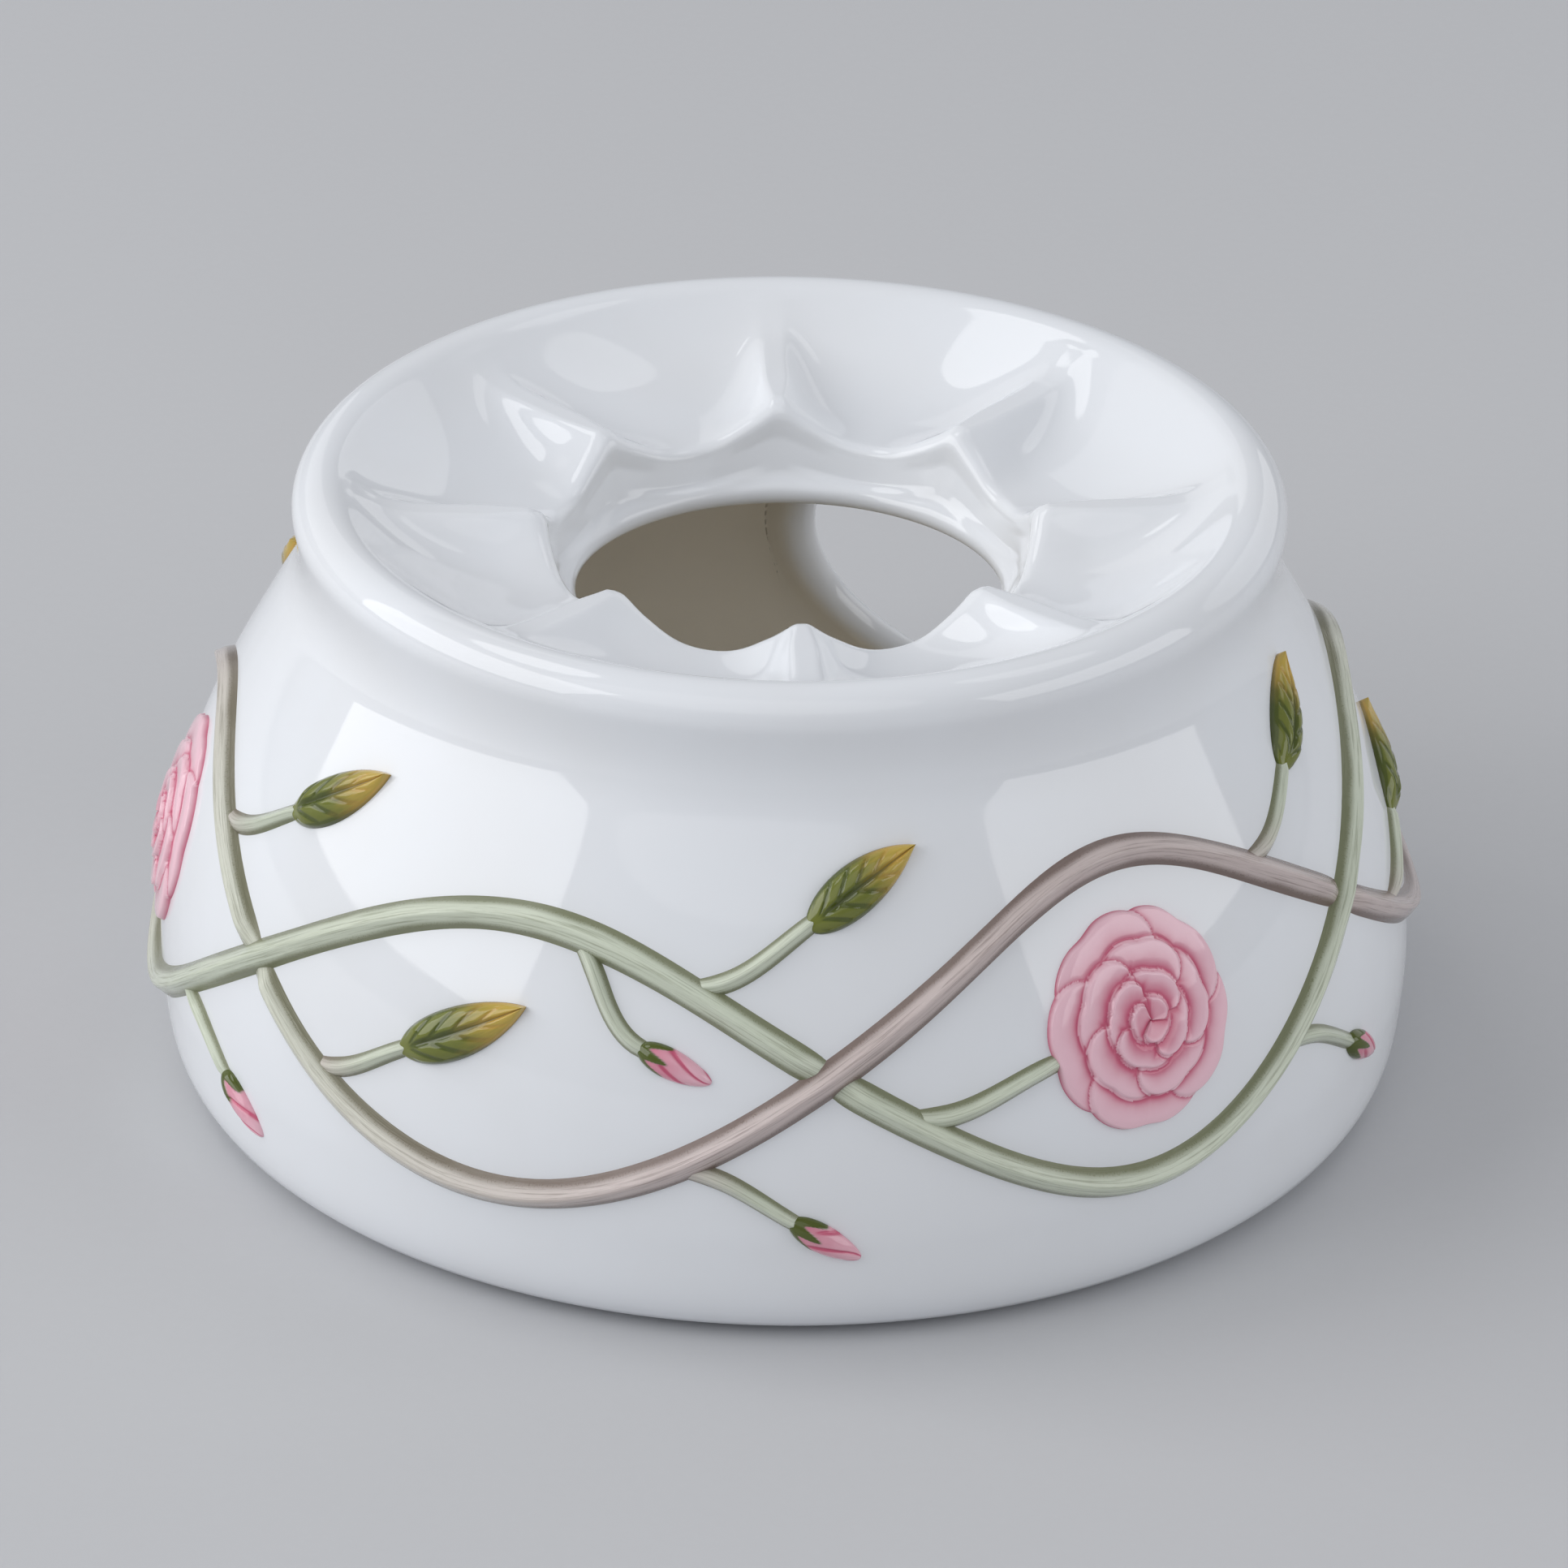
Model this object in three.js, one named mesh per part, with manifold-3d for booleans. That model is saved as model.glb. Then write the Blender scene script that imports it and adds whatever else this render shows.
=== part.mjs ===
// A porcelain teapot warmer with a tealight inside.
// Millimetres, +Z up, the origin under the middle of the foot, the rear window at +Y and a little to +X.
import * as THREE from "three";
import { mergeVertices } from "three/addons/utils/BufferGeometryUtils.js";
import Module from "manifold-3d";

const wasm = await Module();
wasm.setup();

const TURN = 2 * Math.PI;
const DEG = Math.PI / 180;

// Clearance between pieces that touch on the real object.
const GAP = 0.3;

// Outside of the body.
const HEIGHT = 77;
const BELLY_RADIUS = 77;
const BELLY_HEIGHT = 15;
const BELLY_RISE = 22; // how far the flank stays upright above the belly
const FOOT_INSET = 14; // how far the foot stands in from the belly
const FOOT_TURN = 11.5; // height over which the foot's curve turns upright
const FOOT_DRAFT = 0.8; // how much narrower than the belly it is where it has
const NECK_DROP = 10.2; // middle of the neck, below the top
const NECK_SLOPE = 29 * DEG; // of the shoulder where it meets the neck, from upright
const SHOULDER_RUN = 18.2; // length over which the shoulder keeps that slope
const RIM_RADIUS = 60;
const RIM_ROLL = 3.9; // radius of the rolled rim
const RIM_OVERHANG = 2; // how far the neck stands in under the rim

// Walls, floor and foot ring.
const WALL = 4;
const FLOOR = 4;
const FOOT_RING = 5; // width of the flat ring it stands on
const FOOT_HOLLOW = 2; // height of the hollow inside the ring
const CORNER = 9; // rounding where the wall meets the floor

// Dish, ribs and centre hole.
const DISH_FALL = 40 * DEG; // slope of the dish wall under the rim
const DISH_RUN = 12; // length over which the wall keeps that slope
const POCKET_RUN = 9; // length over which a pocket stays level outside its lip
const RIB_COUNT = 8;
const RIB_TURN = 3 * DEG; // of the first rib, from the front towards +X
const RIB_DROP = 5; // rib tops, below the top
const RIB_CREST = 2.2 * DEG; // half angle of the flat along each rib
const RIB_SOFTNESS = 0.25; // 0 is a knife edge, 1 a plain wave
const RIB_NARROWING = 0.065; // how much slimmer a rib grows for each millimetre outwards
const POCKET_DROP = 9.9; // lip between two ribs, below the top
const HOLE_RADIUS = 25.9;
const HOLE_DROP = 16.8; // lower edge of the hole, below the top
const LIP_FLARE = 3.1; // how much wider the hole is at the rib noses
const LIP_ROUND = 1.2;
const NOSE_ROUND = 2; // of a rib's end over the lip

// Rear window, an oval through the wall.
const WINDOW_WIDTH = 59;
const WINDOW_SILL = 12.5; // its lowest point, above the table
const WINDOW_HEAD = 21.5; // its highest point, below the top
const WINDOW_TURN = 26 * DEG; // from straight back towards +X

// Relief of two interlaced vines. It is laid out on the developed flank: u runs round the belly
// from the front towards +X, v runs up the flank from the belly.
const VINE_WIDTH = 3.5;
const VINE_HEIGHT = 1.6;
const BAND_BASE = 3; // v of the vines where they swing lowest
const BAND_CLEAR = 20; // from where they swing highest to the neck, along the flank
const BAND_DRIFT = 3; // slow rise and fall of the whole band, once round the body
const BAND_HIGH = 75 * DEG; // where the band is highest, from the front towards +X
const WINDOW_CLEAR = 8; // from the window to the first and the last crossing
const EYE_COUNT = 5; // spaces between one crossing and the next
const STALK_WIDTH = 2.6;
const STALK_HEIGHT = 1.2;
const ROSE_CLEAR = 4.2; // from the edge of a rose to the vines above and below it
const ROSE_SWELL = 3; // how much further the vines swing round a rose
const ROSE_HEIGHT = 2.2;
const ROSE_LOBES = 5;
const LOBE_DEPTH = 0.06; // as a share of the rose's radius
const ROSE_EYES = [1, 3]; // which eyes hold a rose
const ROSE_STALK_FROM = 0.12; // where its stalk leaves the lower vine, as a share of the eye
const ROSE_STALK_TO = 12 * DEG; // how far below its middle the stalk meets the rose
const LEAF_LENGTH = 18;
const LEAF_WIDTH = 9.5;
const LEAF_HEIGHT = 1.7;
const LEAF_TAPER = 0.3; // how much wider than half way it would be at its stalk, as a share
const BUD_LENGTH = 10;
const BUD_WIDTH = 6.5;
const BUD_HEIGHT = 2;
const BUD_TAPER = 0.2;

// Tealight.
const CUP_RADIUS = 19.2;
const CUP_HEIGHT = 16;
const CUP_WALL = 0.4;
const CUP_LIP = 0.5; // how far the rolled lip stands out
const WAX_HEIGHT = 12.5;
const WAX_CREEP = 0.3; // how far the wax climbs the cup's wall
const WAX_CREEP_RUN = 1.5; // width over which it climbs
const WICK_RADIUS = 0.7;
const WICK_SHOWS = 6; // above the wax
const HOLDER_RADIUS = 7.5;
const HOLDER_PLATE = 0.5;
const HOLDER_NECK = 4.5;
const HOLDER_WALL = 0.5;

// Fineness of the facets.
const RING_STATIONS = [6.5, 11, 16.5, 22.5, 28.5, 34, 38.5]; // degrees from one rib towards the next
const CANDLE_SIDES = 24;
const WINDOW_SIDES = 16; // in each half
const VINE_STEP = 7;
const STALK_STEP = 5;

const footRadius = BELLY_RADIUS - FOOT_INSET;
const neckHeight = HEIGHT - NECK_DROP;
const neckRadius = RIM_RADIUS - RIM_OVERHANG;
const ribTop = HEIGHT - RIB_DROP;
const lipLow = HEIGHT - POCKET_DROP;
const holeLow = HEIGHT - HOLE_DROP;
const lipRadius = HOLE_RADIUS + LIP_FLARE;
const floorTop = FOOT_HOLLOW + FLOOR;
const windowHeight = HEIGHT - WINDOW_HEAD - WINDOW_SILL;

const material = {
  glaze: new THREE.MeshStandardMaterial({ color: 0xe6e6e6, roughness: 0.12, metalness: 0 }),
  green: new THREE.MeshStandardMaterial({ color: 0xa9b896, roughness: 0.2, metalness: 0 }),
  brown: new THREE.MeshStandardMaterial({ color: 0xb09a90, roughness: 0.2, metalness: 0 }),
  leaf: new THREE.MeshStandardMaterial({ color: 0x8d9a4c, roughness: 0.15, metalness: 0 }),
  pink: new THREE.MeshStandardMaterial({ color: 0xe8a8b8, roughness: 0.15, metalness: 0 }),
  aluminium: new THREE.MeshStandardMaterial({ color: 0xcacccf, roughness: 0.3, metalness: 1 }),
  wax: new THREE.MeshStandardMaterial({ color: 0xf4f1e6, roughness: 0.45, metalness: 0 }),
  cotton: new THREE.MeshStandardMaterial({ color: 0xf1eee4, roughness: 0.95, metalness: 0 }),
  tin: new THREE.MeshStandardMaterial({ color: 0xb9babc, roughness: 0.35, metalness: 1 }),
};

const point = (r, z) => new THREE.Vector2(r, z);

// Outline of the flank

function footCurve() {
  return new THREE.CubicBezierCurve(
    point(footRadius, 0),
    point(BELLY_RADIUS, 0),
    point(BELLY_RADIUS - FOOT_DRAFT, BELLY_HEIGHT - FOOT_TURN),
    point(BELLY_RADIUS, BELLY_HEIGHT),
  );
}

function shoulderCurve() {
  return new THREE.CubicBezierCurve(
    point(BELLY_RADIUS, BELLY_HEIGHT),
    point(BELLY_RADIUS, BELLY_HEIGHT + BELLY_RISE),
    point(
      neckRadius + SHOULDER_RUN * Math.sin(NECK_SLOPE),
      neckHeight - SHOULDER_RUN * Math.cos(NECK_SLOPE),
    ),
    point(neckRadius, neckHeight),
  );
}

const foot = footCurve();
const shoulder = shoulderCurve();
const footLength = foot.getLength();
const flankLength = footLength + shoulder.getLength();

// The point on the flank v millimetres above the belly, moved out by lift along its normal.
function flankPoint(v, lift) {
  const along = THREE.MathUtils.clamp(footLength + v, 0, flankLength);
  const curve = along < footLength ? foot : shoulder;
  const share =
    along < footLength ? along / footLength : (along - footLength) / (flankLength - footLength);
  const place = curve.getPointAt(share);
  const way = curve.getTangentAt(share);
  return point(place.x + way.y * lift, place.y - way.x * lift);
}

// Outline of the whole body, as pairs: through the middle of a pocket and along a rib

function spread(curve, count) {
  return curve.getPoints(count).slice(1);
}

function rimCurve() {
  const middle = point(RIM_RADIUS - RIM_ROLL, HEIGHT - RIM_ROLL);
  const start = -35 * DEG;
  const end = 130 * DEG;
  const onRoll = (angle) =>
    point(middle.x + RIM_ROLL * Math.cos(angle), middle.y + RIM_ROLL * Math.sin(angle));
  const steps = [0, 0.28, 0.52, 0.76, 1];
  return steps.map((share) => onRoll(THREE.MathUtils.lerp(start, end, share)));
}

function neckCurve(rimFoot) {
  const reach = (rimFoot.y - neckHeight) / 3;
  return new THREE.CubicBezierCurve(
    point(neckRadius, neckHeight),
    point(neckRadius - reach * Math.sin(NECK_SLOPE), neckHeight + reach),
    point(rimFoot.x - reach, rimFoot.y - reach),
    rimFoot,
  );
}

// The dish wall, from the rim down into a pocket and in to the lip.
function pocketCurve(rimEnd) {
  const down = point(-Math.cos(DISH_FALL), -Math.sin(DISH_FALL)).multiplyScalar(DISH_RUN);
  return new THREE.CubicBezierCurve(
    rimEnd,
    rimEnd.clone().add(down),
    point(lipRadius + POCKET_RUN, lipLow),
    point(lipRadius, lipLow),
  );
}

// The flare of the hole: upright at its lower edge, and at the lip radius where a rib ends.
function collarRadius(z) {
  const share = (z - holeLow) / (ribTop - holeLow);
  return HOLE_RADIUS + (lipRadius - HOLE_RADIUS) * share * share;
}

function bodyOutline() {
  const outline = [];
  const add = (pocket, rib = pocket) => outline.push({ pocket, rib });

  add(point(0, FOOT_HOLLOW));
  add(point(footRadius - FOOT_RING - FOOT_HOLLOW, FOOT_HOLLOW));
  add(point(footRadius - FOOT_RING, 0));
  add(point(footRadius, 0));
  spread(foot, 4).forEach((p) => add(p));
  spread(shoulder, 7).forEach((p) => add(p));
  const rim = rimCurve();
  spread(neckCurve(rim[0]), 2).forEach((p) => add(p));
  rim.slice(1).forEach((p) => add(p));

  const dish = spread(pocketCurve(rim[rim.length - 1]), 7);
  dish.forEach((p) => {
    const nose = Math.max(p.x, lipRadius + NOSE_ROUND);
    add(p, point(nose, Math.max(p.y, ribTop)));
  });
  add(
    point(collarRadius(lipLow - LIP_ROUND), lipLow - LIP_ROUND),
    point(collarRadius(ribTop - NOSE_ROUND), ribTop - NOSE_ROUND),
  );
  const middle = (z) => point(collarRadius((z + holeLow) / 2), (z + holeLow) / 2);
  add(middle(lipLow), middle(ribTop));
  add(point(HOLE_RADIUS, holeLow + LIP_ROUND));
  add(point(HOLE_RADIUS + LIP_ROUND, holeLow));
  add(point(HOLE_RADIUS + 3 * LIP_ROUND, holeLow + LIP_ROUND / 2));
  add(point(lipRadius + WALL, lipLow - WALL));
  add(point(neckRadius - 3 * WALL, lipLow - WALL + LIP_ROUND));

  const inside = (v) => flankPoint(v, -WALL);
  const upper = flankLength - footLength - WALL;
  [1, 0.8, 0.6, 0.4, 0.2, 0].forEach((share) => add(inside(upper * share)));
  const wallFoot = inside(0);
  const floorEdge = point(wallFoot.x - CORNER, floorTop);
  const corner = new THREE.QuadraticBezierCurve(wallFoot, point(wallFoot.x, floorTop), floorEdge);
  spread(corner, 3).forEach((p) => add(p));
  add(point(0, floorTop));
  return outline;
}

// How much of the rib there is at an angle from its middle: 1 on the crest, 0 in mid pocket.
function ribShare(angle, radius) {
  const past = Math.max(0, Math.abs(angle) - RIB_CREST);
  const half = TURN / RIB_COUNT / 2 - RIB_CREST;
  const wave = Math.sin((past / half) * (Math.PI / 2));
  const span = Math.hypot(1, RIB_SOFTNESS) - RIB_SOFTNESS;
  const share = 1 - (Math.hypot(wave, RIB_SOFTNESS) - RIB_SOFTNESS) / span;
  return Math.pow(share, 1 + RIB_NARROWING * Math.max(0, radius - lipRadius));
}

// The angles of the body's columns, as an offset from the nearest rib and a whole angle.
function bodyColumns() {
  const pitch = TURN / RIB_COUNT;
  const stations = [RIB_CREST, ...RING_STATIONS.map((d) => d * DEG), pitch - RIB_CREST];
  const columns = [];
  for (let rib = 0; rib < RIB_COUNT; rib += 1)
    for (const from of stations)
      columns.push({ angle: RIB_TURN + rib * pitch + from, off: Math.min(from, pitch - from) });
  columns.push(columns[0]);
  return columns;
}

// Solids

function closed(geometry) {
  geometry.deleteAttribute("normal");
  geometry.deleteAttribute("uv");
  return mergeVertices(geometry, 1e-4);
}

function solid(geometry) {
  const merged = closed(geometry);
  return new wasm.Manifold(
    new wasm.Mesh({
      numProp: 3,
      vertProperties: merged.getAttribute("position").array,
      triVerts: new Uint32Array(merged.index.array),
    }),
  );
}

function geometryOf(made) {
  const mesh = made.getMesh();
  return new THREE.BufferGeometry()
    .setAttribute("position", new THREE.BufferAttribute(mesh.vertProperties, 3))
    .setIndex(new THREE.BufferAttribute(mesh.triVerts, 1));
}

function bodyShell() {
  const outline = bodyOutline();
  const columns = bodyColumns();
  const profile = outline.map((pair) => pair.pocket);
  const shell = new THREE.LatheGeometry(profile, columns.length - 1);
  const position = shell.getAttribute("position");
  columns.forEach(({ angle, off }, column) =>
    outline.forEach(({ pocket, rib }, row) => {
      const here = pocket.clone().lerp(rib, ribShare(off, pocket.x));
      const x = here.x * Math.sin(angle);
      const y = -here.x * Math.cos(angle);
      position.setXYZ(column * outline.length + row, x, y, here.y);
    }),
  );
  return shell;
}

function windowCutter() {
  const oval = new THREE.Shape();
  oval.absellipse(0, 0, WINDOW_WIDTH / 2, windowHeight / 2, 0, TURN, false, 0);
  const cutter = new THREE.ExtrudeGeometry(oval, {
    depth: BELLY_RADIUS,
    bevelEnabled: false,
    curveSegments: WINDOW_SIDES,
  });
  const out = new THREE.Vector3(Math.sin(WINDOW_TURN), Math.cos(WINDOW_TURN), 0);
  const up = new THREE.Vector3(0, 0, 1);
  const across = new THREE.Vector3().crossVectors(up, out);
  const place = new THREE.Matrix4().makeBasis(across, up, out);
  place.setPosition(out.multiplyScalar(BELLY_RADIUS / 2).setZ(WINDOW_SILL + windowHeight / 2));
  return cutter.applyMatrix4(place);
}

function porcelainBody() {
  const cut = solid(bodyShell()).subtract(solid(windowCutter()));
  return geometryOf(cut);
}

// Lays a shape that was made flat, x along u, y along v and z out, onto the flank.
function laidOnFlank(geometry) {
  const position = geometry.getAttribute("position");
  for (let i = 0; i < position.count; i += 1) {
    const angle = position.getX(i) / BELLY_RADIUS;
    const place = flankPoint(position.getY(i), GAP + position.getZ(i));
    position.setXYZ(i, place.x * Math.sin(angle), -place.x * Math.cos(angle), place.y);
  }
  return closed(geometry);
}

// A rounded bead with a flat back. The extrusion takes x as the way into the flank.
function beadSection(width, height) {
  const side = width / 2;
  return new THREE.Shape([
    point(0, -side),
    point(0, side),
    point(-height * 0.6, side * 0.85),
    point(-height, side * 0.35),
    point(-height, -side * 0.35),
    point(-height * 0.6, -side * 0.85),
  ]);
}

function bead(path, width, height, step) {
  const steps = Math.max(2, Math.round(path.getLength() / step));
  const section = beadSection(width, height);
  return laidOnFlank(new THREE.ExtrudeGeometry(section, { steps, extrudePath: path }));
}

// Vines

const windowMiddle = (Math.PI - WINDOW_TURN) * BELLY_RADIUS;
const windowHalf = Math.asin(WINDOW_WIDTH / 2 / BELLY_RADIUS) * BELLY_RADIUS + WINDOW_CLEAR;
const vineStart = windowMiddle + windowHalf - TURN * BELLY_RADIUS;
const eyeLength = (TURN * BELLY_RADIUS - 2 * windowHalf) / EYE_COUNT;
const vineSwing = (shoulder.getLength() - BAND_CLEAR - BAND_BASE) / 2;
const roseRadius = vineSwing + ROSE_SWELL - VINE_WIDTH / 2 - ROSE_CLEAR;

// Middle of the band at u.
function bandHeight(u) {
  return BAND_BASE + vineSwing + BAND_DRIFT * Math.cos(u / BELLY_RADIUS - BAND_HIGH);
}

// Height of a vine at u: side is 1 for the green vine and -1 for the brown one.
function vineHeight(u, side) {
  const eyes = (u - vineStart) / eyeLength;
  const wave = Math.sin(eyes * Math.PI);
  const swell = ROSE_EYES.includes(Math.floor(eyes)) ? ROSE_SWELL : 0;
  return bandHeight(u) + side * (vineSwing * wave + swell * wave ** 3);
}

class VineCurve extends THREE.Curve {
  constructor(from, to, side) {
    super();
    this.from = from;
    this.to = to;
    this.side = side;
  }

  getPoint(t, target = new THREE.Vector3()) {
    const u = THREE.MathUtils.lerp(this.from, this.to, t);
    return target.set(u, vineHeight(u, this.side), 0);
  }
}

const crossing = (index) => vineStart + index * eyeLength;
const crossingSlope = Math.atan((vineSwing * Math.PI) / eyeLength);
const vineSlope = (u, side) => Math.atan(vineHeight(u + 0.5, side) - vineHeight(u - 0.5, side));

// How far from a crossing the vine that passes under ends, measured along u.
function crossingTrim() {
  const between = 2 * crossingSlope;
  const away = VINE_WIDTH / 2 + GAP + (VINE_WIDTH / 2) * Math.abs(Math.cos(between));
  return (away / Math.sin(between)) * Math.cos(crossingSlope);
}

// Each vine passes under the other at every second crossing, and is broken there.
function vines(group) {
  const trim = crossingTrim();
  const kinds = [
    { name: "vine_green", side: 1, under: [1, 3, 5], from: 0 },
    { name: "vine_brown", side: -1, under: [0, 2, 4], to: EYE_COUNT },
  ];
  for (const { name, side, under, from, to } of kinds) {
    const ends = [from, ...under, to].filter((index) => index !== undefined);
    for (let i = 0; i + 1 < ends.length; i += 1) {
      const start = crossing(ends[i]) + (under.includes(ends[i]) ? trim : 0);
      const end = crossing(ends[i + 1]) - (under.includes(ends[i + 1]) ? trim : 0);
      const shape = bead(new VineCurve(start, end, side), VINE_WIDTH, VINE_HEIGHT, VINE_STEP);
      addPiece(group, `${name}_${i + 1}`, shape, side > 0 ? material.green : material.brown);
    }
  }
}

// Sprigs

const heading = (angle) => new THREE.Vector3(Math.cos(angle), Math.sin(angle), 0);

// A stalk that leaves a vine at u and bends from its first heading to its last, up to its end.
function stalkPath({ u, side, first, last, end }) {
  const slope = vineSlope(u, side);
  const start = new THREE.Vector3(u, vineHeight(u, side), 0);
  const away = first > slope ? 1 : -1;
  const corner = (STALK_WIDTH / 2) * Math.abs(Math.cos(first - slope));
  const off = VINE_WIDTH / 2 + GAP + corner;
  start.add(heading(slope + (away * Math.PI) / 2).multiplyScalar(off));
  const third = start.distanceTo(end) / 3;
  const out = start.clone().add(heading(first).multiplyScalar(third));
  const back = end.clone().sub(heading(last).multiplyScalar(third));
  return new THREE.CubicBezierCurve3(start, out, back, end);
}

// Places a flat shape that starts at the origin and points along x.
function placed(geometry, at, angle) {
  geometry.rotateZ(angle);
  geometry.translate(at.x, at.y, 0);
  return laidOnFlank(geometry);
}

// A pointed oval, domed on a flat back, from a sphere with its poles at the two ends.
function pointedOval(length, width, height, taper) {
  const oval = new THREE.SphereGeometry(1, 8, 6);
  const position = oval.getAttribute("position");
  for (let i = 0; i < position.count; i += 1) {
    const along = (1 - position.getY(i)) / 2;
    const half = (width / 2) * (1 + taper * (1 - 2 * along));
    const out = Math.max(0, position.getZ(i)) * height;
    position.setXYZ(i, along * length, position.getX(i) * half, out);
  }
  return oval;
}

// A lobed, domed disc on a flat back, from a sphere with its poles at the front and the back.
function rosette() {
  const disc = new THREE.SphereGeometry(1, 4 * ROSE_LOBES, 8);
  disc.rotateX(Math.PI / 2);
  const position = disc.getAttribute("position");
  for (let i = 0; i < position.count; i += 1) {
    const x = position.getX(i);
    const y = position.getY(i);
    const lobes = 1 - LOBE_DEPTH + LOBE_DEPTH * Math.cos(ROSE_LOBES * Math.atan2(y, x));
    const radius = roseRadius * lobes;
    position.setXYZ(i, x * radius, y * radius, Math.max(0, position.getZ(i)) * ROSE_HEIGHT);
  }
  return disc;
}

// Each sprig, in shares of the eye it stands in: where it leaves its vine and where its stalk ends,
// in eye lengths past a crossing; the height of that end, in swings above the middle of the band;
// and its first and last heading, in slopes of the vines at a crossing.
const ABOVE_CROSSING = { side: -1, from: -0.21, to: -0.025, rise: 1.1, first: 0.35, last: 1, tip: "leaf" };
const BELOW_CROSSING = { side: 1, from: -0.21, to: -0.05, rise: -1.06, first: -0.35, last: -1, tip: "bud" };
const EYE_LEAF = { side: -1, from: 0.18, to: 0.34, rise: -0.12, first: 0.2, last: 0.9, tip: "leaf" };
const EYE_BUD = { side: 1, from: 0.6, to: 0.72, rise: 0.2, first: -1.1, last: -0.62, tip: "bud" };

// At odd crossings the vines have changed places, so a sprig's vine is the other one.
function sprigAt(index, sprig) {
  const swap = index % 2 ? -1 : 1;
  const to = crossing(index + sprig.to);
  return {
    u: crossing(index + sprig.from),
    end: new THREE.Vector3(to, bandHeight(to) + sprig.rise * vineSwing, 0),
    side: sprig.side * swap,
    first: sprig.first * crossingSlope,
    last: sprig.last * crossingSlope,
    tip: sprig.tip,
  };
}

function sprigList() {
  const list = [];
  for (let index = 1; index < EYE_COUNT; index += 1) {
    list.push(sprigAt(index, ABOVE_CROSSING));
    list.push(sprigAt(index, BELOW_CROSSING));
  }
  for (let eye = 0; eye < EYE_COUNT; eye += 1) {
    if (ROSE_EYES.includes(eye)) continue;
    list.push(sprigAt(eye, EYE_LEAF));
    list.push(sprigAt(eye, EYE_BUD));
  }
  return list;
}

function sprigs(group) {
  const counts = { leaf: 0, bud: 0 };
  sprigList().forEach((sprig, i) => {
    const path = stalkPath(sprig);
    const stalk = bead(path, STALK_WIDTH, STALK_HEIGHT, STALK_STEP);
    addPiece(group, `stalk_${i + 1}`, stalk, material.green);
    const at = path.getPoint(1).add(heading(sprig.last).multiplyScalar(GAP));
    counts[sprig.tip] += 1;
    const name = `${sprig.tip}_${counts[sprig.tip]}`;
    const shape =
      sprig.tip === "leaf"
        ? pointedOval(LEAF_LENGTH, LEAF_WIDTH, LEAF_HEIGHT, LEAF_TAPER)
        : pointedOval(BUD_LENGTH, BUD_WIDTH, BUD_HEIGHT, BUD_TAPER);
    const finish = sprig.tip === "leaf" ? material.leaf : material.pink;
    addPiece(group, name, placed(shape, at, sprig.last), finish);
  });
}

// Each rose sits in the middle of its eye, on a stalk from the lower vine.
function roses(group) {
  ROSE_EYES.forEach((eye, i) => {
    const centre = crossing(eye) + eyeLength / 2;
    const middle = new THREE.Vector3(centre, bandHeight(centre), 0);
    const face = placed(rosette(), middle, 0);
    addPiece(group, `rose_${i + 1}`, face, material.pink);
    const side = eye % 2 ? 1 : -1;
    const u = crossing(eye + ROSE_STALK_FROM);
    const slope = vineSlope(u, side);
    const start = new THREE.Vector3(u, vineHeight(u, side), 0);
    const away = VINE_WIDTH / 2 + GAP + STALK_WIDTH / 2;
    start.add(heading(slope + Math.PI / 2).multiplyScalar(away));
    const edge = heading(Math.PI + ROSE_STALK_TO).multiplyScalar(roseRadius + GAP + STALK_WIDTH / 2);
    const end = middle.clone().add(edge);
    const bend = start.clone().lerp(end, 0.5).add(new THREE.Vector3(0, -STALK_WIDTH, 0));
    const path = new THREE.QuadraticBezierCurve3(start, bend, end);
    const stalk = bead(path, STALK_WIDTH, STALK_HEIGHT, STALK_STEP);
    addPiece(group, `rose_stalk_${i + 1}`, stalk, material.green);
  });
}

// Tealight

function turned(outline) {
  return new THREE.LatheGeometry(
    outline.map(([r, z]) => point(r, z)),
    CANDLE_SIDES,
  ).rotateX(Math.PI / 2);
}

function cupShape() {
  const inner = CUP_RADIUS - CUP_WALL;
  return turned([
    [0, 0],
    [CUP_RADIUS - 2 * CUP_WALL, 0],
    [CUP_RADIUS, 2 * CUP_WALL],
    [CUP_RADIUS, CUP_HEIGHT - 2 * CUP_LIP],
    [CUP_RADIUS + CUP_LIP, CUP_HEIGHT - CUP_LIP],
    [CUP_RADIUS, CUP_HEIGHT],
    [inner, CUP_HEIGHT - CUP_LIP],
    [inner, 3 * CUP_WALL],
    [inner - 2 * CUP_WALL, CUP_WALL],
    [0, CUP_WALL],
  ]);
}

const holderLow = CUP_WALL + GAP;
const holderBore = WICK_RADIUS + GAP;

function waxShape() {
  const outer = CUP_RADIUS - CUP_WALL - GAP;
  const sleeve = holderBore + HOLDER_WALL + GAP;
  const plateTop = holderLow + HOLDER_PLATE + GAP;
  const neckTop = holderLow + HOLDER_NECK + GAP;
  const outline = [
    [holderBore, WAX_HEIGHT],
    [holderBore, neckTop],
    [sleeve, neckTop],
    [sleeve, plateTop],
    [HOLDER_RADIUS + GAP, plateTop],
    [HOLDER_RADIUS + GAP, holderLow],
    [outer - 2 * CUP_WALL, holderLow],
    [outer, holderLow + 2 * CUP_WALL],
    [outer, WAX_HEIGHT + WAX_CREEP],
    [outer - WAX_CREEP_RUN, WAX_HEIGHT],
  ];
  return turned([...outline, outline[0]]);
}

function holderShape() {
  const neck = holderBore + HOLDER_WALL;
  const outline = [
    [holderBore, 0],
    [HOLDER_RADIUS, 0],
    [HOLDER_RADIUS, HOLDER_PLATE],
    [neck, HOLDER_PLATE],
    [neck, HOLDER_NECK],
    [holderBore, HOLDER_NECK],
  ];
  return turned([...outline, outline[0]]).translate(0, 0, holderLow);
}

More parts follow.
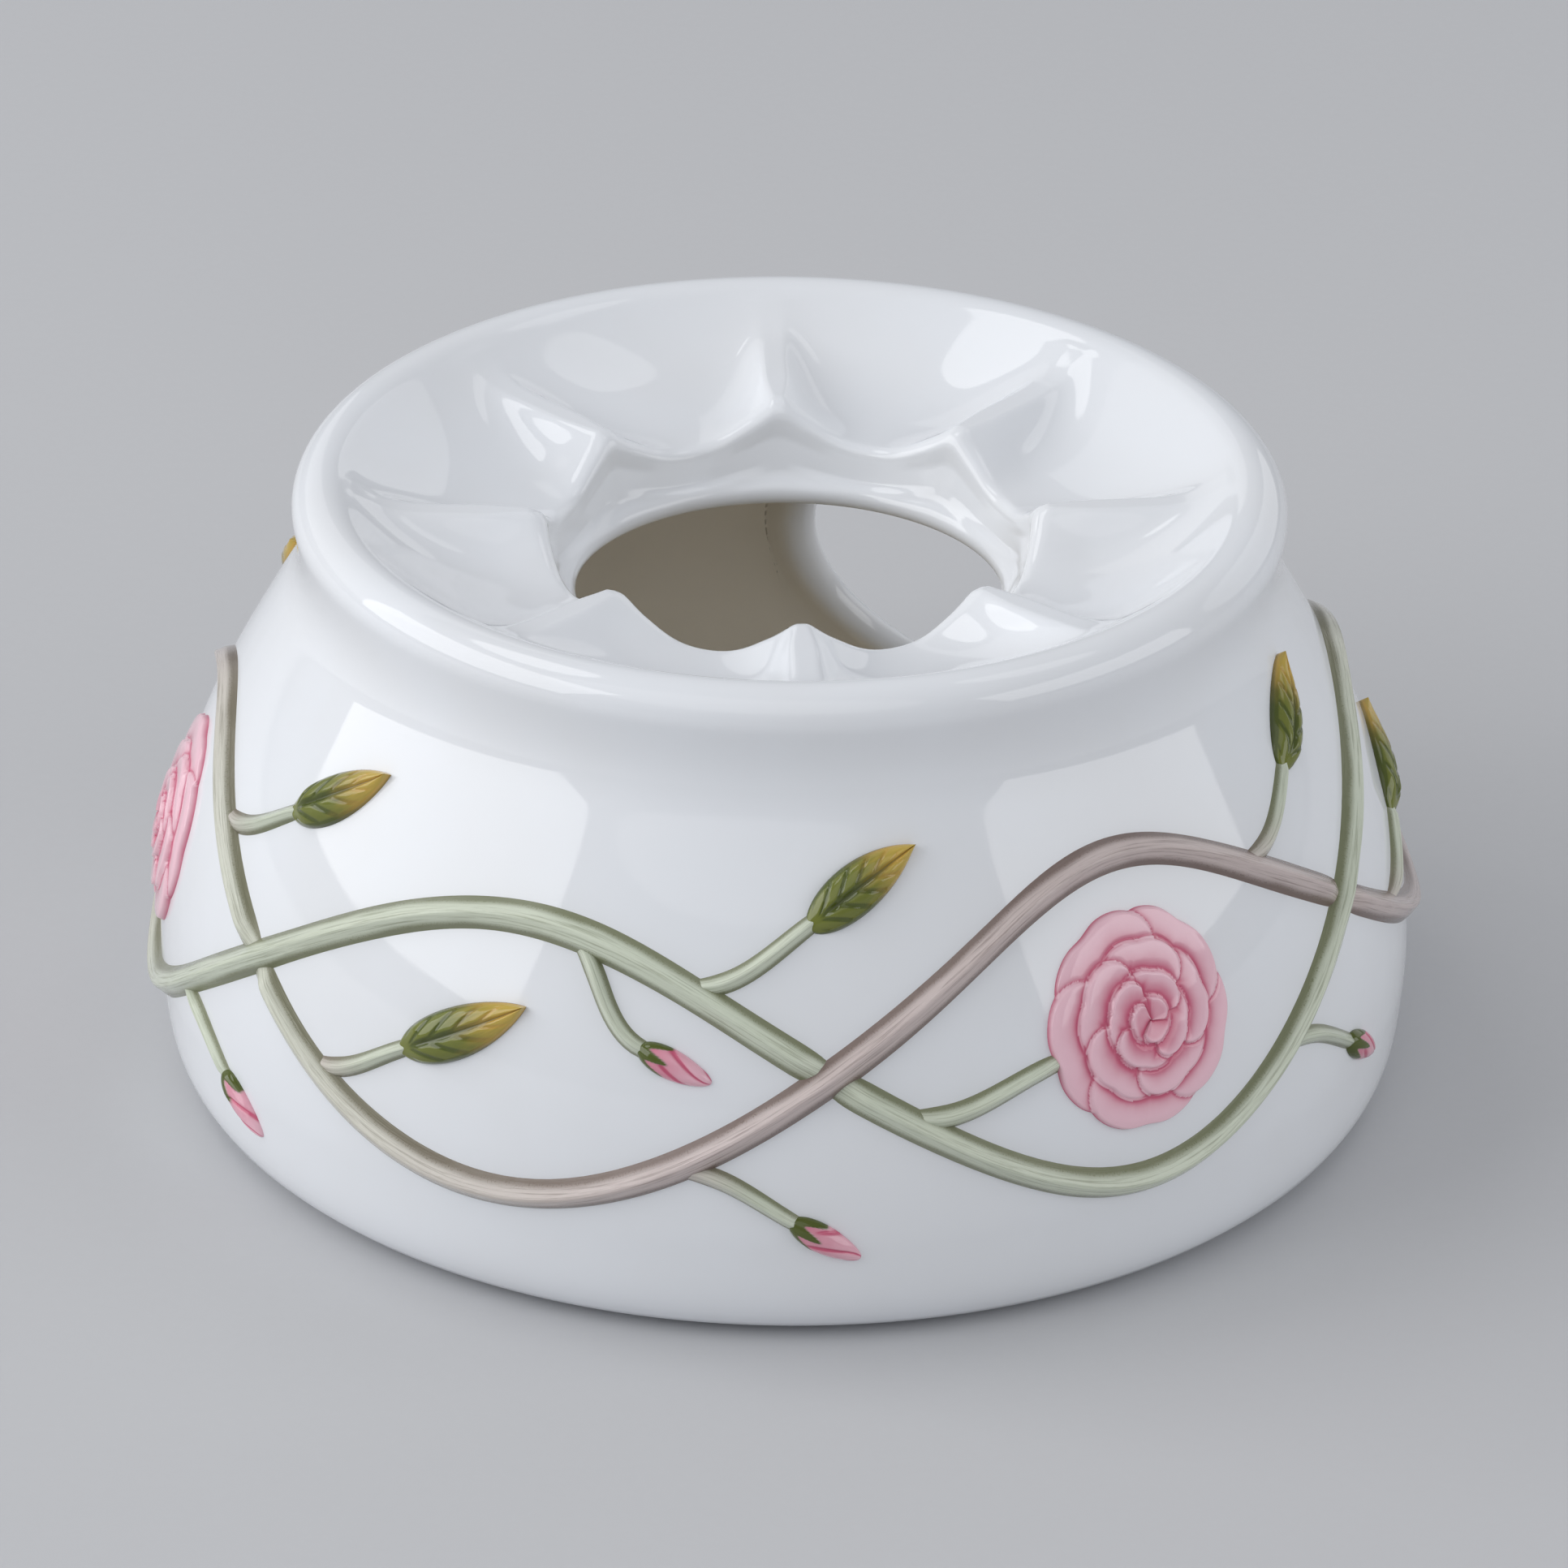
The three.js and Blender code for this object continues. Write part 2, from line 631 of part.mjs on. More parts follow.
function wickShape() {
  const length = WAX_HEIGHT + WICK_SHOWS - holderLow;
  const wick = new THREE.CylinderGeometry(WICK_RADIUS, WICK_RADIUS, length, 8);
  return wick.rotateX(Math.PI / 2).translate(0, 0, holderLow + length / 2);
}

function tealight() {
  const group = new THREE.Group();
  group.position.set(0, 0, floorTop + GAP);
  addPiece(group, "candle_cup", cupShape(), material.aluminium);
  addPiece(group, "candle_wax", waxShape(), material.wax);
  addPiece(group, "wick_holder", holderShape(), material.tin);
  addPiece(group, "wick", wickShape(), material.cotton);
  return group;
}

// Assembly

function addPiece(group, name, geometry, finish) {
  const mesh = new THREE.Mesh(geometry, finish);
  mesh.name = name;
  group.add(mesh);
}

const warmer = new THREE.Group();
addPiece(warmer, "porcelain_body", porcelainBody(), material.glaze);
vines(warmer);
sprigs(warmer);
roses(warmer);
warmer.add(tealight());

export default warmer;
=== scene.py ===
import math
import random

import bmesh
import bpy
import numpy as np
from mathutils import Matrix, Vector
from mathutils.geometry import interpolate_bezier
from mathutils.kdtree import KDTree


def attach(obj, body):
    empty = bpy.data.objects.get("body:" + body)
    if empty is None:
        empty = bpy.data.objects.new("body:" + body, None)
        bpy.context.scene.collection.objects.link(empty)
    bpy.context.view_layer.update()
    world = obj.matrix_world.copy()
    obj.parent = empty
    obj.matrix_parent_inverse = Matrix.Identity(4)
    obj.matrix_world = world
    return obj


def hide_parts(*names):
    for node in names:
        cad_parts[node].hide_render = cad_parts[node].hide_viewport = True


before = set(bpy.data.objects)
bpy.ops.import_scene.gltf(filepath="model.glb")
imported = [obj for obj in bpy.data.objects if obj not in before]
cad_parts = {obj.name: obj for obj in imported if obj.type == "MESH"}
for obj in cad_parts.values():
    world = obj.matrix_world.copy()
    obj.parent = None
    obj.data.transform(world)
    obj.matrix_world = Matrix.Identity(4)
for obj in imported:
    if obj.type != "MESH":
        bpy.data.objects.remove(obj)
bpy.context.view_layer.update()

bl_info = {
    "name": "Porcelain Teapot Warmer",
    "version": (1, 0, 0),
    "blender": (4, 5, 0),
    "location": "3D View > Sidebar > Warmer",
    "description": "A glazed porcelain warmer with a rose vine in relief and a tealight",
    "category": "Add Mesh",
}

MM = 0.001
DEG = math.pi / 180
TURN = 2 * math.pi


# Sizes and colours a user would change


def length(name, description, default):
    return bpy.props.FloatProperty(
        name=name, description=description, default=default, min=0.0,
        unit="LENGTH", subtype="DISTANCE", precision=4,
    )


def angle(name, description, degrees):
    return bpy.props.FloatProperty(
        name=name, description=description, default=degrees * DEG, unit="ROTATION",
    )


def colour(name, description, default):
    return bpy.props.FloatVectorProperty(
        name=name, description=description, default=default, size=3,
        min=0.0, max=1.0, subtype="COLOR",
    )


class WarmerSizes(bpy.types.PropertyGroup):
    height: length("Height", "From the table to the top of the rim", 77 * MM)
    belly_radius: length("Belly radius", "Where the body is widest", 77 * MM)
    belly_height: length("Belly height", "Of the widest place above the table", 15 * MM)
    rim_radius: length("Rim radius", "Outside of the rolled rim", 60 * MM)
    rim_roll: length("Rim roll", "Radius of the roll", 3.9 * MM)
    wall: length("Wall", "Thickness of the porcelain", 4 * MM)
    hole_radius: length("Hole radius", "Narrowest part of the heat hole", 25.9 * MM)
    rib_turn: angle("Rib turn", "First rib, from the front towards the right", 3)
    rib_drop: length("Rib drop", "Rib tops below the rim", 5 * MM)
    pocket_drop: length("Pocket drop", "Lip between two ribs below the rim", 9.9 * MM)
    window_width: length("Window width", "Rear opening, from side to side", 59 * MM)
    window_height: length("Window height", "Rear opening, from sill to head", 43 * MM)
    window_turn: angle("Window turn", "From straight back towards the right", 26)
    vine_width: length("Vine width", "Of the two main vines", 3.5 * MM)
    vine_height: length("Vine height", "How far the main vines stand out", 1.7 * MM)
    stalk_width: length("Stalk width", "Of the side stalks", 2.5 * MM)
    leaf_length: length("Leaf length", "From stalk to tip", 18 * MM)
    leaf_width: length("Leaf width", "At its widest", 9.5 * MM)
    bud_length: length("Bud length", "From stalk to tip", 10 * MM)
    bud_width: length("Bud width", "At its widest", 6.5 * MM)
    rose_height: length("Rose height", "How far a rose stands out", 2.4 * MM)
    cup_radius: length("Tealight radius", "Outside of the foil cup", 19.2 * MM)
    cup_height: length("Tealight height", "Of the foil cup", 16 * MM)


class WarmerColours(bpy.types.PropertyGroup):
    glaze: colour("Glaze", "White glaze over porcelain", (0.84, 0.862, 0.895))
    # Painted light: the lining colour is warmer and lighter than the glaze, painted bounce light
    # for the chamber's shade.
    lining: colour("Lining", "Glaze inside the chamber", (0.95, 0.90, 0.80))
    bisque: colour("Bisque", "Unglazed ring under the foot", (0.72, 0.66, 0.56))
    # Painted light on the vines: each crest colour is partly a painted highlight, and each shade
    # colour is partly painted shade at the bead's sides, besides pooled underglaze.
    vine_green: colour("Vine green", "Crest of the green vines", (0.65, 0.70, 0.57))
    vine_shade: colour("Vine shade", "Green pooled beside a crest", (0.14, 0.15, 0.06))
    vine_taupe: colour("Vine taupe", "Crest of the brown vines", (0.62, 0.53, 0.51))
    taupe_shade: colour("Taupe shade", "Brown pooled beside a crest", (0.14, 0.09, 0.07))
    leaf_green: colour("Leaf green", "Leaf near its stalk", (0.085, 0.107, 0.016))
    leaf_yellow: colour("Leaf yellow", "Leaf at its tip", (0.60, 0.38, 0.075))
    # Painted light on the petals: the pale colour is partly a painted highlight, the deep one
    # painted shade in the folds and creases.
    rose_pale: colour("Rose pale", "Petals at their edges", (0.90, 0.58, 0.66))
    rose_deep: colour("Rose deep", "Petals in their folds", (0.60, 0.11, 0.20))
    foil: colour("Foil", "Aluminium cup", (0.80, 0.80, 0.81))
    wax: colour("Wax", "Candle wax", (0.86, 0.84, 0.76))
    cotton: colour("Cotton", "Wick", (0.80, 0.76, 0.66))
    tin: colour("Tin", "Plate that holds the wick", (0.62, 0.62, 0.63))
    floor: colour("Floor", "Table top", (0.57, 0.575, 0.59))


# Outline of the body

FOOT_INSET = 14 * MM
FOOT_TURN = 11.5 * MM
FOOT_DRAFT = 0.8 * MM
BELLY_RISE = 22 * MM
NECK_DROP = 10.2 * MM
NECK_SLOPE = 29 * DEG
SHOULDER_RUN = 18.2 * MM
RIM_OVERHANG = 2 * MM
NECK_START = 15.5 * MM
NECK_PULL = 4.3 * MM
ROLL_START = -12 * DEG
ROLL_END = 130 * DEG
FLOOR_TOP = 6 * MM
FOOT_HOLLOW = 2 * MM
FOOT_RING = 5 * MM
CORNER = 9 * MM
HOLE_DROP = 17.4 * MM
LIP_FLARE = 3.1 * MM
LIP_ROUND = 1.2 * MM
NOSE_ROUND = 2.2 * MM
POCKET_RUN = 9 * MM
DISH_FALL = 40 * DEG
DISH_RUN = 12 * MM
DISH_BLEND = 2 * MM
RIB_COUNT = 8
RIB_SOFTNESS = 0.9 * MM
RIB_CHANGE = 8 * MM
CREST_WIDTH = 0.35 * MM
CREST_GAIN = 0.85 * MM
CREST_RISE = 0.35 * MM
SPREAD_WIDTH = 4.3 * MM
SPREAD_LOSS = 1.8 * MM
RING_ROUND = 1.7 * MM
RING_STEP = 1.3 * MM
RING_BLEND = 0.5 * MM


def bezier(points, count):
    """Points along a curve from its end points and handles, as (radius, height)."""
    flat = [Vector((r, z, 0)) for r, z in points]
    return [(p.x, p.y) for p in interpolate_bezier(*flat, count)]


def arc(centre, radius, first, last, count):
    """Points round a centre, from one angle to another."""
    return [(centre[0] + radius * math.cos(a), centre[1] + radius * math.sin(a))
            for a in np.linspace(first, last, count)]


def along(points):
    """A line as an array, and how far along it each point lies."""
    line = np.array(points)
    return line, np.concatenate([[0], np.cumsum(np.hypot(*np.diff(line, axis=0).T))])


def headings(line, run):
    """The direction of a line at each of its points, one long."""
    way = np.gradient(line, run, axis=0)
    return way / np.hypot(way[:, 0], way[:, 1])[:, None]


def even(points, count):
    """The same line with its points at even distances."""
    line, run = along(points)
    at = np.linspace(0, run[-1], count)
    return list(zip(np.interp(at, run, line[:, 0]), np.interp(at, run, line[:, 1])))


def smoothstep(low, high, value):
    share = min(1.0, max(0.0, (value - low) / (high - low)))
    return share * share * (3 - 2 * share)


def soft_max(a, b, softness):
    return (a + b + math.sqrt((a - b) ** 2 + softness ** 2)) / 2


class Flank:
    """The outside of the body between foot and neck: v runs up it from the belly."""

    def __init__(self, sizes):
        belly, rise = sizes.belly_radius, sizes.belly_height
        neck, top = sizes.rim_radius - RIM_OVERHANG, sizes.height - NECK_DROP
        foot = bezier([(belly - FOOT_INSET, 0), (belly, 0),
                       (belly - FOOT_DRAFT, rise - FOOT_TURN), (belly, rise)], 200)
        shoulder = bezier([(belly, rise), (belly, rise + BELLY_RISE),
                           (neck + SHOULDER_RUN * math.sin(NECK_SLOPE),
                            top - SHOULDER_RUN * math.cos(NECK_SLOPE)), (neck, top)], 400)
        self.line, run = along(foot + shoulder[1:])
        self.v = run - run[len(foot) - 1]
        self.way = headings(self.line, self.v)
        self.radius = belly
        self.rise = self.v[-1]

    def point(self, v, lift):
        r, z = (np.interp(v, self.v, self.line[:, i]) for i in (0, 1))
        tr, tz = (np.interp(v, self.v, self.way[:, i]) for i in (0, 1))
        return r + tz * lift, z - tr * lift

    def lay(self, u, v, lift):
        """A point laid on the flank: u runs round the belly from the front to the right."""
        r, z = self.point(v, lift)
        turn = u / self.radius
        return Vector((r * math.sin(turn), -r * math.cos(turn), z))


# Materials

CLAY_TINT = (0.80, 0.74, 0.66, 1)
IRON_SPECK = (0.12, 0.09, 0.07, 1)
METAL_HAZE = (0.45, 0.44, 0.42, 1)
# Leaf marks: dark veins, partly painted shade in their grooves, and lighter fields between them
# as a painted highlight.
LEAF_VEIN_AND_SHADE = (0.035, 0.045, 0.008, 1)
LEAF_FIELD_HIGHLIGHT = (0.42, 0.44, 0.08, 1)
WAX_CLOUD = (0.92, 0.91, 0.86, 1)
# Painted shade for the gaps between the wick's fibres.
COTTON_GAP_SHADE = (0.45, 0.40, 0.32, 1)
PAPER_GREY = (0.6, 0.6, 0.6, 1)
GLAZE_IOR = 1.52
GLAZE_BUMP = 0.4 * MM
METAL_BUMP = 0.3 * MM
WAX_BUMP = 0.3 * MM
FIBRE_BUMP = 0.2 * MM
SOCKET_KINDS = {
    "Vector": "NodeSocketVector", "UV": "NodeSocketVector", "Colour": "NodeSocketColor",
    "Crest": "NodeSocketColor", "Shade": "NodeSocketColor", "White": "NodeSocketColor",
    "Roughness": "NodeSocketFloat", "Specks": "NodeSocketFloat", "Height": "NodeSocketFloat",
}


class Tree:
    """Adds nodes to a tree: a value sets an input, a socket is linked to it."""

    def __init__(self, tree):
        self.tree = tree

    def feed(self, node, inputs):
        for key, value in inputs.items():
            if isinstance(value, bpy.types.NodeSocket):
                self.tree.links.new(value, node.inputs[key])
            else:
                node.inputs[key].default_value = value

    def node(self, kind, inputs=None, **settings):
        node = self.tree.nodes.new(kind)
        for key, value in settings.items():
            setattr(node, key, value)
        self.feed(node, inputs or {})
        return node

    def math(self, operation, *values):
        inputs = dict(enumerate(values))
        return self.node("ShaderNodeMath", inputs, operation=operation).outputs[0]

    def times(self, a, b, plus=0.0):
        return self.math("MULTIPLY_ADD", a, b, plus)

    def ramp(self, value, low, high, out_low=0.0, out_high=1.0):
        inputs = {"Value": value, "From Min": low, "From Max": high,
                  "To Min": out_low, "To Max": out_high}
        node = self.node("ShaderNodeMapRange", inputs, interpolation_type="SMOOTHSTEP")
        return node.outputs["Result"]

    def mix(self, share, a, b, blend="MIX"):
        inputs = {0: share, 6: a, 7: b}
        node = self.node("ShaderNodeMix", inputs, data_type="RGBA", blend_type=blend)
        return node.outputs[2]

    def noise(self, vector, scale, detail=2.0, roughness=0.5):
        inputs = {"Vector": vector, "Scale": scale, "Detail": detail, "Roughness": roughness}
        return self.node("ShaderNodeTexNoise", inputs).outputs["Fac"]

    def scaled(self, vector, x, y, z=1.0):
        inputs = {"Vector": vector, "Scale": (x, y, z)}
        return self.node("ShaderNodeMapping", inputs).outputs["Vector"]


def rgba(value):
    return (*value, 1.0)


def shared_group(name, inputs, outputs, fill):
    """A shader node group, built once: fill makes its nodes and says what it puts out."""
    group = bpy.data.node_groups.get(name)
    if group is None:
        group = bpy.data.node_groups.new(name, "ShaderNodeTree")
        for way, labels in (("INPUT", inputs), ("OUTPUT", outputs)):
            for label in labels:
                kind = SOCKET_KINDS[label]
                group.interface.new_socket(label, in_out=way, socket_type=kind)
        tree = Tree(group)
        results = fill(tree, tree.node("NodeGroupInput").outputs)
        tree.node("NodeGroupOutput", results)
    return group


def glaze_group():
    """Fired glaze: faint mottling, a few iron specks, wiping marks and a wavy skin."""
    def fill(tree, given):
        place = given["Vector"]
        cloud = tree.ramp(tree.noise(place, 38.0, 3.0), 0.35, 0.7)
        tinted = tree.mix(tree.times(cloud, 0.10), given["Colour"], CLAY_TINT, "MULTIPLY")
        cells = tree.node("ShaderNodeTexVoronoi", {"Vector": place, "Scale": 120.0})
        dot = tree.ramp(cells.outputs["Distance"], 0.035, 0.018)
        lot = tree.node("ShaderNodeSeparateColor", {"Color": cells.outputs["Color"]})
        chosen = tree.ramp(lot.outputs[0], 0.965, 0.97)
        speck = tree.times(tree.times(dot, chosen), given["Specks"])
        wiped = tree.noise(tree.scaled(place, 1.0, 1.0, 2.5), 55.0, 4.0, 0.6)
        swell = tree.noise(place, 70.0, 1.0, 0.4)
        fine = tree.noise(place, 420.0, 1.0, 0.4)
        return {"Colour": tree.mix(tree.times(speck, 0.75), tinted, IRON_SPECK),
                "Roughness": tree.times(tree.ramp(wiped, 0.45, 0.75), 0.05, given["Roughness"]),
                "Height": tree.times(fine, 0.05, swell)}
    return shared_group("Fired Glaze", ("Vector", "Colour", "Roughness", "Specks"),
                        ("Colour", "Roughness", "Height"), fill)


def brush_group():
    """Underglaze colour brushed along a stem: lengthwise streaks, a pale crest that is partly a
    painted highlight, and darker pools at its sides that are partly painted shade.
    """
    def fill(tree, given):
        uv = given["UV"]
        parts = tree.node("ShaderNodeSeparateXYZ", {"Vector": uv})
        across = tree.math("ABSOLUTE", tree.times(parts.outputs["Y"], 2.0, -1.0))
        drift = tree.noise(tree.scaled(uv, 0.8, 1.0), 1.2, 1.0)
        streak = tree.noise(tree.scaled(uv, 0.45, 9.0), 2.2, 4.0, 0.62)
        fine = tree.noise(tree.scaled(uv, 1.6, 26.0), 2.0, 2.0, 0.6)
        grain = tree.noise(tree.scaled(uv, 6.0, 2.2), 9.0, 2.0)
        lines = tree.ramp(streak, 0.47, 0.68)
        # Painted shade with the pooled underglaze: darker towards both sides of the bead.
        pool_and_painted_shade = tree.ramp(tree.times(drift, 0.30, across), 0.50, 0.88)
        stain = tree.times(tree.ramp(grain, 0.52, 0.68), tree.ramp(across, 0.35, 0.75))
        dark = tree.math("MAXIMUM", tree.times(lines, 0.45), tree.times(pool_and_painted_shade, 0.85))
        dark = tree.times(tree.ramp(fine, 0.55, 0.72), 0.12, dark)
        dark = tree.times(stain, 0.30, dark)
        stem = tree.mix(tree.math("MINIMUM", dark, 0.85), given["Crest"], given["Shade"])
        return {"Colour": tree.mix(tree.ramp(across, 0.86, 0.99), stem, given["White"]),
                "Height": tree.times(fine, 0.35, streak)}
    return shared_group("Brushed Stem", ("UV", "Crest", "Shade", "White"),
                        ("Colour", "Height"), fill)


def metal_group():
    """Rolled metal: fine grain, soft dents and dull patches."""
    def fill(tree, given):
        place = given["Vector"]
        grain = tree.noise(tree.scaled(place, 1.0, 1.0, 14.0), 260.0, 3.0, 0.6)
        dull = tree.noise(place, 90.0, 3.0, 0.55)
        haze = tree.times(tree.ramp(dull, 0.4, 0.75), 0.25)
        return {"Colour": tree.mix(haze, given["Colour"], METAL_HAZE),
                "Roughness": tree.times(tree.ramp(grain, 0.3, 0.8), 0.16, given["Roughness"]),
                "Height": tree.times(grain, 0.15, dull)}
    return shared_group("Rolled Metal", ("Vector", "Colour", "Roughness"),
                        ("Colour", "Roughness", "Height"), fill)


def new_material(name):
    material = bpy.data.materials.new(name)
    material.use_nodes = True
    material.node_tree.nodes.clear()
    tree = Tree(material.node_tree)
    shader = tree.node("ShaderNodeBsdfPrincipled")
    tree.node("ShaderNodeOutputMaterial", {"Surface": shader.outputs["BSDF"]})
    return material, tree, shader


def place_of(tree):
    return tree.node("ShaderNodeTexCoord").outputs["Object"]


def uv_of(tree):
    return tree.node("ShaderNodeUVMap", uv_map="UVMap").outputs["UV"]


def attribute_of(tree, name):
    return tree.node("ShaderNodeAttribute", attribute_name=name).outputs["Fac"]


def wired(tree, shader, base, roughness, height, strength, distance):
    """Feeds colour, roughness and a bump into the shader."""
    inputs = {"Height": height, "Strength": strength, "Distance": distance}
    bump = tree.node("ShaderNodeBump", inputs)
    tree.feed(shader, {"Base Color": base, "Roughness": roughness,
                       "Normal": bump.outputs["Normal"]})


def glazed(tree, shader, base, roughness, specks=0.0, relief=None, bare=None, strength=0.12):
    """A coloured porcelain surface under clear glaze, dull where it is bare."""
    inputs = {"Vector": place_of(tree), "Colour": base, "Roughness": roughness, "Specks": specks}
    skin = tree.node("ShaderNodeGroup", inputs, node_tree=glaze_group()).outputs
    rough, height = skin["Roughness"], skin["Height"]
    if relief is not None:
        height = tree.math("ADD", height, relief)
    if bare is not None:
        rough = tree.times(bare, 0.6, rough)
    wired(tree, shader, skin["Colour"], rough, height, strength, GLAZE_BUMP)
    shader.inputs["IOR"].default_value = GLAZE_IOR


def porcelain_material(colours):
    """White glaze outside, a warmer one inside that is painted bounce light in the chamber's
    shade, and gritty clay under the foot.
    """
    material, tree, shader = new_material("Porcelain Glaze")
    inside = tree.ramp(attribute_of(tree, "inside"), 0.0, 1.0)
    bare = attribute_of(tree, "bare")
    # Painted light: the lining colour, mixed in by the inside share, lifts and warms the shaded
    # chamber and the dish's underside.
    warm = tree.mix(inside, rgba(colours.glaze), rgba(colours.lining))
    grit = tree.times(bare, tree.noise(place_of(tree), 900.0, 3.0, 0.6))
    glazed(tree, shader, tree.mix(bare, warm, rgba(colours.bisque)), 0.045, specks=1.0,
           relief=tree.times(grit, 0.6), bare=bare, strength=0.10)
    return material


def stem_material(name, colours, brown=False):
    """One vine's colours, which turn to the other vine's where fade is 1."""
    material, tree, shader = new_material(name)
    fade = attribute_of(tree, "fade")
    crests = [rgba(colours.vine_green), rgba(colours.vine_taupe)]
    shades = [rgba(colours.vine_shade), rgba(colours.taupe_shade)]
    own, other = int(brown), int(not brown)
    inputs = {"UV": uv_of(tree), "Crest": tree.mix(fade, crests[own], crests[other]),
              "Shade": tree.mix(fade, shades[own], shades[other]), "White": rgba(colours.glaze)}
    brush = tree.node("ShaderNodeGroup", inputs, node_tree=brush_group()).outputs
    glazed(tree, shader, brush["Colour"], 0.09, relief=tree.times(brush["Height"], 0.8),
           strength=0.35)
    return material


def leaf_material(colours):
    """Green that turns yellow towards the tip, dark in the vein grooves, partly painted shade,
    and lighter between the veins as a painted highlight.
    """
    material, tree, shader = new_material("Leaf Glaze")
    uv = uv_of(tree)
    parts = tree.node("ShaderNodeSeparateXYZ", {"Vector": uv})
    vein = attribute_of(tree, "tone")
    wash = tree.math("SUBTRACT", tree.noise(tree.scaled(uv, 2.0, 6.0), 2.4, 3.0), 0.5)
    tip = tree.ramp(tree.times(wash, 0.30, parts.outputs["X"]), 0.42, 0.92)
    blade = tree.mix(tip, rgba(colours.leaf_green), rgba(colours.leaf_yellow))
    # Dark veins, partly painted shade in their grooves.
    dark = tree.mix(tree.times(tree.ramp(vein, 0.55, 1.0), 0.55), blade, LEAF_VEIN_AND_SHADE)
    # Painted highlight: lighter fields away from the veins.
    light = tree.mix(tree.times(tree.ramp(vein, 0.30, 0.0), 0.24), dark, LEAF_FIELD_HIGHLIGHT)
    glazed(tree, shader, light, 0.07)
    return material


def petal_material(name, colours, calyx):
    """Pink that deepens in the folds as painted shade, pale where the tone is low, partly a
    painted highlight, and green where there is a calyx.
    """
    material, tree, shader = new_material(name)
    wash = tree.math("SUBTRACT", tree.noise(place_of(tree), 260.0, 3.0), 0.5)
    painted_shade_share = tree.ramp(tree.times(wash, 0.35, attribute_of(tree, "tone")), 0.05, 0.95)
    petal = tree.mix(painted_shade_share, rgba(colours.rose_pale), rgba(colours.rose_deep))
    if calyx:
        petal = tree.mix(attribute_of(tree, "calyx"), petal, rgba(colours.leaf_green))
    glazed(tree, shader, petal, 0.07)
    return material


def metal_material(name, tint, roughness, strength):
    material, tree, shader = new_material(name)
    inputs = {"Vector": place_of(tree), "Colour": rgba(tint), "Roughness": roughness}
    skin = tree.node("ShaderNodeGroup", inputs, node_tree=metal_group()).outputs
    wired(tree, shader, skin["Colour"], skin["Roughness"], skin["Height"], strength, METAL_BUMP)
    shader.inputs["Metallic"].default_value = 1.0
    return material


def wax_material(colours):
    material, tree, shader = new_material("Candle Wax")
    place = place_of(tree)
    frost = tree.noise(place, 320.0, 4.0, 0.6)
    cloud = tree.noise(place, 60.0, 2.0)
    base = tree.mix(tree.times(tree.ramp(cloud, 0.35, 0.7), 0.35), rgba(colours.wax), WAX_CLOUD)
    wired(tree, shader, base, tree.ramp(frost, 0.3, 0.7, 0.32, 0.52),
          tree.times(frost, 0.3, cloud), 0.25, WAX_BUMP)
    tree.feed(shader, {"Subsurface Weight": 0.3, "Subsurface Radius": (1.0, 0.8, 0.5),
                       "Subsurface Scale": 2 * MM})
    return material


def cotton_material(colours):
    material, tree, shader = new_material("Wick Cotton")
    fibre = tree.noise(tree.scaled(uv_of(tree), 8.0, 30.0), 6.0, 3.0, 0.6)
    # Painted shade: darker patches in the fibre noise stand for shade in the gaps between
    # fibres.
    gap_shade = tree.times(tree.ramp(fibre, 0.4, 0.75), 0.5)
    wired(tree, shader, tree.mix(gap_shade, rgba(colours.cotton), COTTON_GAP_SHADE),
          tree.ramp(fibre, 0.3, 0.7, 0.75, 0.95), fibre, 0.5, FIBRE_BUMP)
    return material


def paper_material(colours):
    material, tree, shader = new_material("Floor Paper")
    grain = tree.noise(place_of(tree), 600.0, 3.0)
    wired(tree, shader, tree.mix(tree.times(grain, 0.06), rgba(colours.floor), PAPER_GREY),
          tree.ramp(grain, 0.3, 0.7, 0.75, 0.9), grain, 0.05, FIBRE_BUMP)
    return material


# Mesh helpers


def finish_piece(context, bm, name, material, nodes, body):
    """Turns the bmesh into an object that rides on a body and stands for its nodes."""
    bmesh.ops.recalc_face_normals(bm, faces=bm.faces)
    for face in bm.faces:
        face.smooth = True
    mesh = bpy.data.meshes.new(name)
    bm.to_mesh(mesh)
    bm.free()
    piece = bpy.data.objects.new(name, mesh)
    context.scene.collection.objects.link(piece)
    mesh.materials.append(material)
    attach(piece, body)
    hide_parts(*nodes)


def skin_of(columns, rows, place, values=None, uv_scale=(1.0, 1.0)):
    """A closed skin: a flat grid moved point by point, its meeting edges merged."""
    bm = bmesh.new()
    uv = bm.loops.layers.uv.new("UVMap")
    bmesh.ops.create_grid(bm, x_segments=columns, y_segments=rows, size=0.5, calc_uvs=True)
    layers = {key: bm.verts.layers.float.new(key) for key in (values or {})}
    for vert in bm.verts:
        s, t = vert.co.x + 0.5, vert.co.y + 0.5
        for key, layer in layers.items():
            vert[layer] = values[key](s, t)
        vert.co = place(s, t)
    for face in bm.faces:
        for loop in face.loops:
            loop[uv].uv = (loop[uv].uv.x * uv_scale[0], loop[uv].uv.y * uv_scale[1])
    bmesh.ops.remove_doubles(bm, verts=bm.verts, dist=1e-6)
    return bm


def spin_round(bm, line, steps, closed=False):
    """Joins a line of vertices up and spins it a full turn round the upright axis."""
    following = line[1:] + line[:1] if closed else line[1:]
    edges = [bm.edges.new(pair) for pair in zip(line, following)]
    bmesh.ops.spin(bm, geom=line + edges, cent=(0, 0, 0), axis=(0, 0, 1), dvec=(0, 0, 0),
                   angle=TURN, steps=steps, use_merge=True)
    bmesh.ops.remove_doubles(bm, verts=bm.verts, dist=1e-7)


# Porcelain body

